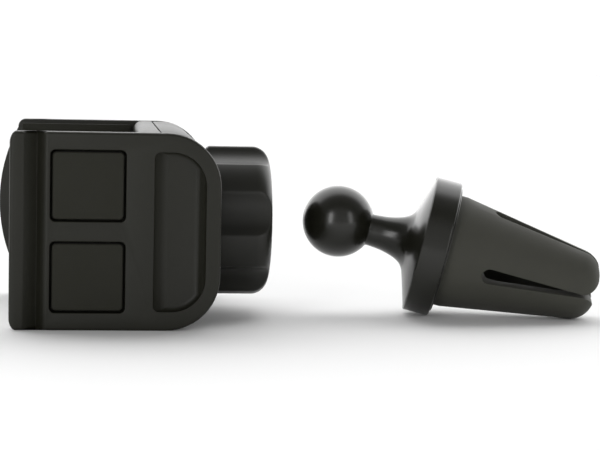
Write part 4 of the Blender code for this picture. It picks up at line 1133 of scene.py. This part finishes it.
flare = [(x, SLOT_TIP_HALF + PRONG_END_ROUND - r)
         for x, r in arc(BOOT_TIP - PRONG_END_ROUND, 0.0, PRONG_END_ROUND, 0, 72, 12)]
root = [(x, -z) for x, z in arc(SLOT_ROOT + SLOT_R, 0.0, SLOT_R, 180, 360, 20)]
ends = [(BOOT_TIP + PAST, z) for z in (flare[-1][1], -flare[-1][1])]
outline = flare + ends + [(x, -z) for x, z in reversed(flare)] + list(reversed(root))
for k in range(2):
    slot = drawn("prong_slot", outline, -2 * BOOT_BASE_R, 2 * BOOT_BASE_R, "Y")
    slot.rotation_euler = (math.radians(PRONG_PHASE + 90 * k), 0.0, 0.0)
    carve(boot, settle(slot))
break_edges(boot, PRONG_EDGE_R, 3, 35.0)
hand_over(lay_down(boot), "vent_clip", "soft_rubber", prong_rubber, "prong_boot")

# %% [markdown]
# ## Rods, washers and screws
# The steel pieces are small turned parts. A screw gets a cross recess, cut with two crossed bars,
# and a slightly domed head. Each copy has its own mesh.

# %% Rods and washers
ROD_INNER_END = -25.3 * MM
ROD_OUTER_END = 30.4 * MM
ROD_BEVEL = 0.4 * MM
ROD_HEAD = 0.8 * MM
ROD_HEAD_R = 2.3 * MM
HEAD_EDGE = 0.1 * MM
WASHER_R = 2.8 * MM
WASHER = 0.8 * MM
WASHER_EDGE_R = 0.08 * MM
SEAT_Y = ROD_INNER_END + ROD_HEAD + GAP
head_top = ROD_INNER_END + ROD_HEAD
rod_section = [(ROD_OUTER_END, 0.0), (ROD_OUTER_END, ROD_R - ROD_BEVEL), (ROD_OUTER_END - ROD_BEVEL, ROD_R),
               (head_top, ROD_R), (head_top, ROD_HEAD_R - HEAD_EDGE), (head_top - HEAD_EDGE, ROD_HEAD_R),
               (ROD_INNER_END + HEAD_EDGE, ROD_HEAD_R), (ROD_INNER_END, ROD_HEAD_R - HEAD_EDGE),
               (ROD_INNER_END, 0.0)]
for place, z in (("upper", ROD_Z), ("lower", -ROD_Z)):
    rod = along_y(turned(f"rod_{place}", rod_section, 40), ROD_X, z)
    hand_over(rod, "sliding_jaw", "bright_steel", plated_steel, f"guide_rod_{place}")
    washer = along_y(tube(f"washer_{place}", WASHER_R, ROD_R + GAP, SEAT_Y, SEAT_Y + WASHER), ROD_X, z)
    break_edges(washer, WASHER_EDGE_R)
    hand_over(washer, "sliding_jaw", "bright_steel", plated_steel, f"spring_washer_{place}")


# %% Screws
SCREW_TIP_R = 0.3 * MM
SCREW_NECK = 1.0 * MM  # bare shank under the head
SCREW_THREAD_DEPTH = 0.2 * MM
HEAD_WALL = 0.45  # share of the head's height that is upright
HEAD_FLAT = 0.35  # share of its radius that is flat on top
RECESS_HALF = 0.26 * MM
RECESS_DEPTH = 0.25  # share of the head's radius


def screw(name, head_r, head, shank_r, length, point):
    """A cross-recessed screw on the X axis, its head's seat at the origin and its point at -X."""
    section = [(-length, 0.0), (-length, SCREW_TIP_R), (point - length, shank_r)]
    section += thread(point - length, -SCREW_NECK, shank_r, -SCREW_THREAD_DEPTH)
    section += [(0.0, shank_r), (0.0, head_r - HEAD_EDGE), (HEAD_EDGE, head_r), (HEAD_WALL * head, head_r)]
    section += [(head * (HEAD_WALL + (1 - HEAD_WALL) * math.sin(a)),
                 head_r * (HEAD_FLAT + (1 - HEAD_FLAT) * math.cos(a)))
                for a in map(math.radians, range(15, 91, 15))]
    made = turned(name, section + [(head, 0.0)], 40)
    for turn in (0, 90):
        bar = slab("recess", (head - RECESS_DEPTH * head_r, -RECESS_HALF), (head + PAST, RECESS_HALF),
                   (0.0,) * 4, -0.5 * head_r, 0.5 * head_r)
        bar.rotation_euler = (math.radians(turn), 0.0, 0.0)
        carve(made, settle(bar))
    return made


for number, (y, z) in enumerate(SCREW_PLACES, 1):
    made = screw(f"screw_{number}", SCREW_HEAD_R, SCREW_HEAD, SCREW_R, 9.0 * MM, 0.7 * MM)
    made.location = (BODY_REAR - SCREW_HEAD, y, z)
    hand_over(settle(made), "cradle", "bright_steel", plated_steel, f"housing_screw_{number}")

clip_screw = screw("prong_screw", 2.7 * MM, 1.8 * MM, 1.4 * MM, 11.3 * MM, 0.8 * MM)
clip_screw.location = (34.4 * MM, 0.0, 0.0)
hand_over(lay_down(settle(clip_screw)), "vent_clip", "bright_steel", plated_steel, "clip_screw")
clip_washer = tube("prong_washer", 3.6 * MM, HOLE_R, 33.4 * MM, 34.1 * MM)
break_edges(clip_washer, WASHER_EDGE_R)
hand_over(lay_down(clip_washer), "vent_clip", "bright_steel", plated_steel, "clip_washer")

# %% [markdown]
# ## The return springs
# A spring is a wire circle wound round the rod with the Screw modifier. Its ends are cut flat with a
# bisect, as a ground spring's are. It shortens as the jaw slides out, but here it is one fixed
# shape that stays with the cradle.

# %% Return springs
SPRING_NEAR = -23.1 * MM
SPRING_FAR = 19.1 * MM
SPRING_R = 2.25 * MM
WIRE_R = 0.28 * MM
SPRING_TURNS = 11

for place, z in (("upper", ROD_Z), ("lower", -ROD_Z)):
    spring = primitive(bpy.ops.mesh.primitive_circle_add, f"spring_{place}", vertices=10, radius=WIRE_R,
                       location=(SPRING_R, 0.0, 0.0), rotation=(math.pi / 2, 0.0, 0.0))
    winding = spring.modifiers.new("winding", "SCREW")
    winding.axis = "Z"
    winding.steps = winding.render_steps = 28
    winding.iterations = SPRING_TURNS
    winding.screw_offset = (SPRING_FAR - SPRING_NEAR - WIRE_R) / SPRING_TURNS
    bpy.ops.object.modifier_apply(modifier=winding.name)
    spring.rotation_euler = (-math.pi / 2, 0.0, 0.0)
    spring.location = (ROD_X, SPRING_NEAR + WIRE_R / 2, z)
    settle(spring)
    with editing(spring):
        bpy.ops.mesh.select_all(action="SELECT")
        bpy.ops.mesh.fill_holes(sides=0)
        for end, below in ((SPRING_NEAR, True), (SPRING_FAR, False)):
            bpy.ops.mesh.select_all(action="SELECT")
            bpy.ops.mesh.bisect(plane_co=(0.0, end, 0.0), plane_no=(0.0, 1.0, 0.0), use_fill=True,
                                clear_inner=below, clear_outer=not below)
        face_out()
    hand_over(spring, "cradle", "spring_steel", spring_wire, f"return_spring_{place}")
    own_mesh(spring)

# %% [markdown]
# ## Floor and light
# The photograph is a product shot on plain white. Light comes from a bright room behind the object,
# and the camera's side is darker: that is why the faces towards us are dark grey while every upward
# or rounded edge carries a line of light. So the floor is a large white plane, and the world is bright
# behind, dark at the sides and overhead, and a little brighter round the camera. Two narrow upright
# lights beside the camera give the two soft lines on the ball.

# %% Floor
FLOOR_SIZE = 8.0
FLOOR_DROP = 0.02 * MM
MOTTLE_MM = 300.0

floor = primitive(bpy.ops.mesh.primitive_plane_add, "floor", size=FLOOR_SIZE,
                  location=(0.0, 0.0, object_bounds()[0][2] - FLOOR_DROP))
white, tree, shader, place = start_material("matt_white_floor", Roughness=0.9, Specular_IOR_Level=0.2)
mottle = add_node(tree, "ShaderNodeTexNoise", {"Vector": place, "Scale": per_metre(MOTTLE_MM)})
paint = add_node(tree, "ShaderNodeMix", {"Factor": mottle.outputs["Fac"], "A": linear("#f1f1f1"),
                                         "B": linear("#f4f4f4")}, data_type="RGBA")
tree.links.new(paint.outputs["Result"], shader.inputs["Base Color"])
floor.data.materials.append(white)
print("the floor is", FLOOR_SIZE, "m wide")

# %% World and lights
WORLD_STRENGTH = 2.4
WORLD_RAMP = [(-1.0, 0.26), (-0.85, 0.22), (-0.5, 0.07), (0.05, 0.13), (0.35, 1.0), (1.0, 1.0)]
STRIP_SIZE = (0.2, 0.7)
STRIP_TARGET = (0.05, 0.0, 0.0)
# The left and the right strip: its name, place in metres and power in watts.
STRIPS = [("left_strip", (-0.52, -0.9, 0.25), 3.0), ("right_strip", (0.66, -0.9, 0.25), 1.4)]

world = bpy.data.worlds.new("studio")
bpy.context.scene.world = world
world.use_nodes = True
tree = world.node_tree
way = add_node(tree, "ShaderNodeTexCoord").outputs["Generated"]
behind = add_node(tree, "ShaderNodeSeparateXYZ", {"Vector": way}).outputs["Y"]
share = add_node(tree, "ShaderNodeMapRange", {"Value": behind, "From Min": -1.0, "From Max": 1.0})
glow = add_node(tree, "ShaderNodeValToRGB", {"Fac": share.outputs["Result"]})
glow.color_ramp.interpolation = "EASE"
for spot, shade in WORLD_RAMP[1:-1]:
    glow.color_ramp.elements.new((spot + 1) / 2)
for element, (spot, shade) in zip(glow.color_ramp.elements, WORLD_RAMP):
    element.position = (spot + 1) / 2
    element.color = (shade, shade, shade, 1.0)
tree.links.new(glow.outputs["Color"], tree.nodes["Background"].inputs["Color"])
tree.nodes["Background"].inputs["Strength"].default_value = WORLD_STRENGTH

for name, place, power in STRIPS:
    turn = (Vector(STRIP_TARGET) - Vector(place)).to_track_quat("-Z", "Y").to_euler()
    bpy.ops.object.select_all(action="DESELECT")
    bpy.ops.object.light_add(type="AREA", location=place, rotation=turn)
    light = bpy.context.object
    light.name = name
    light.data.shape = "RECTANGLE"
    light.data.size, light.data.size_y = STRIP_SIZE
    light.data.energy = power
bpy.context.scene.view_settings.view_transform = "Standard"
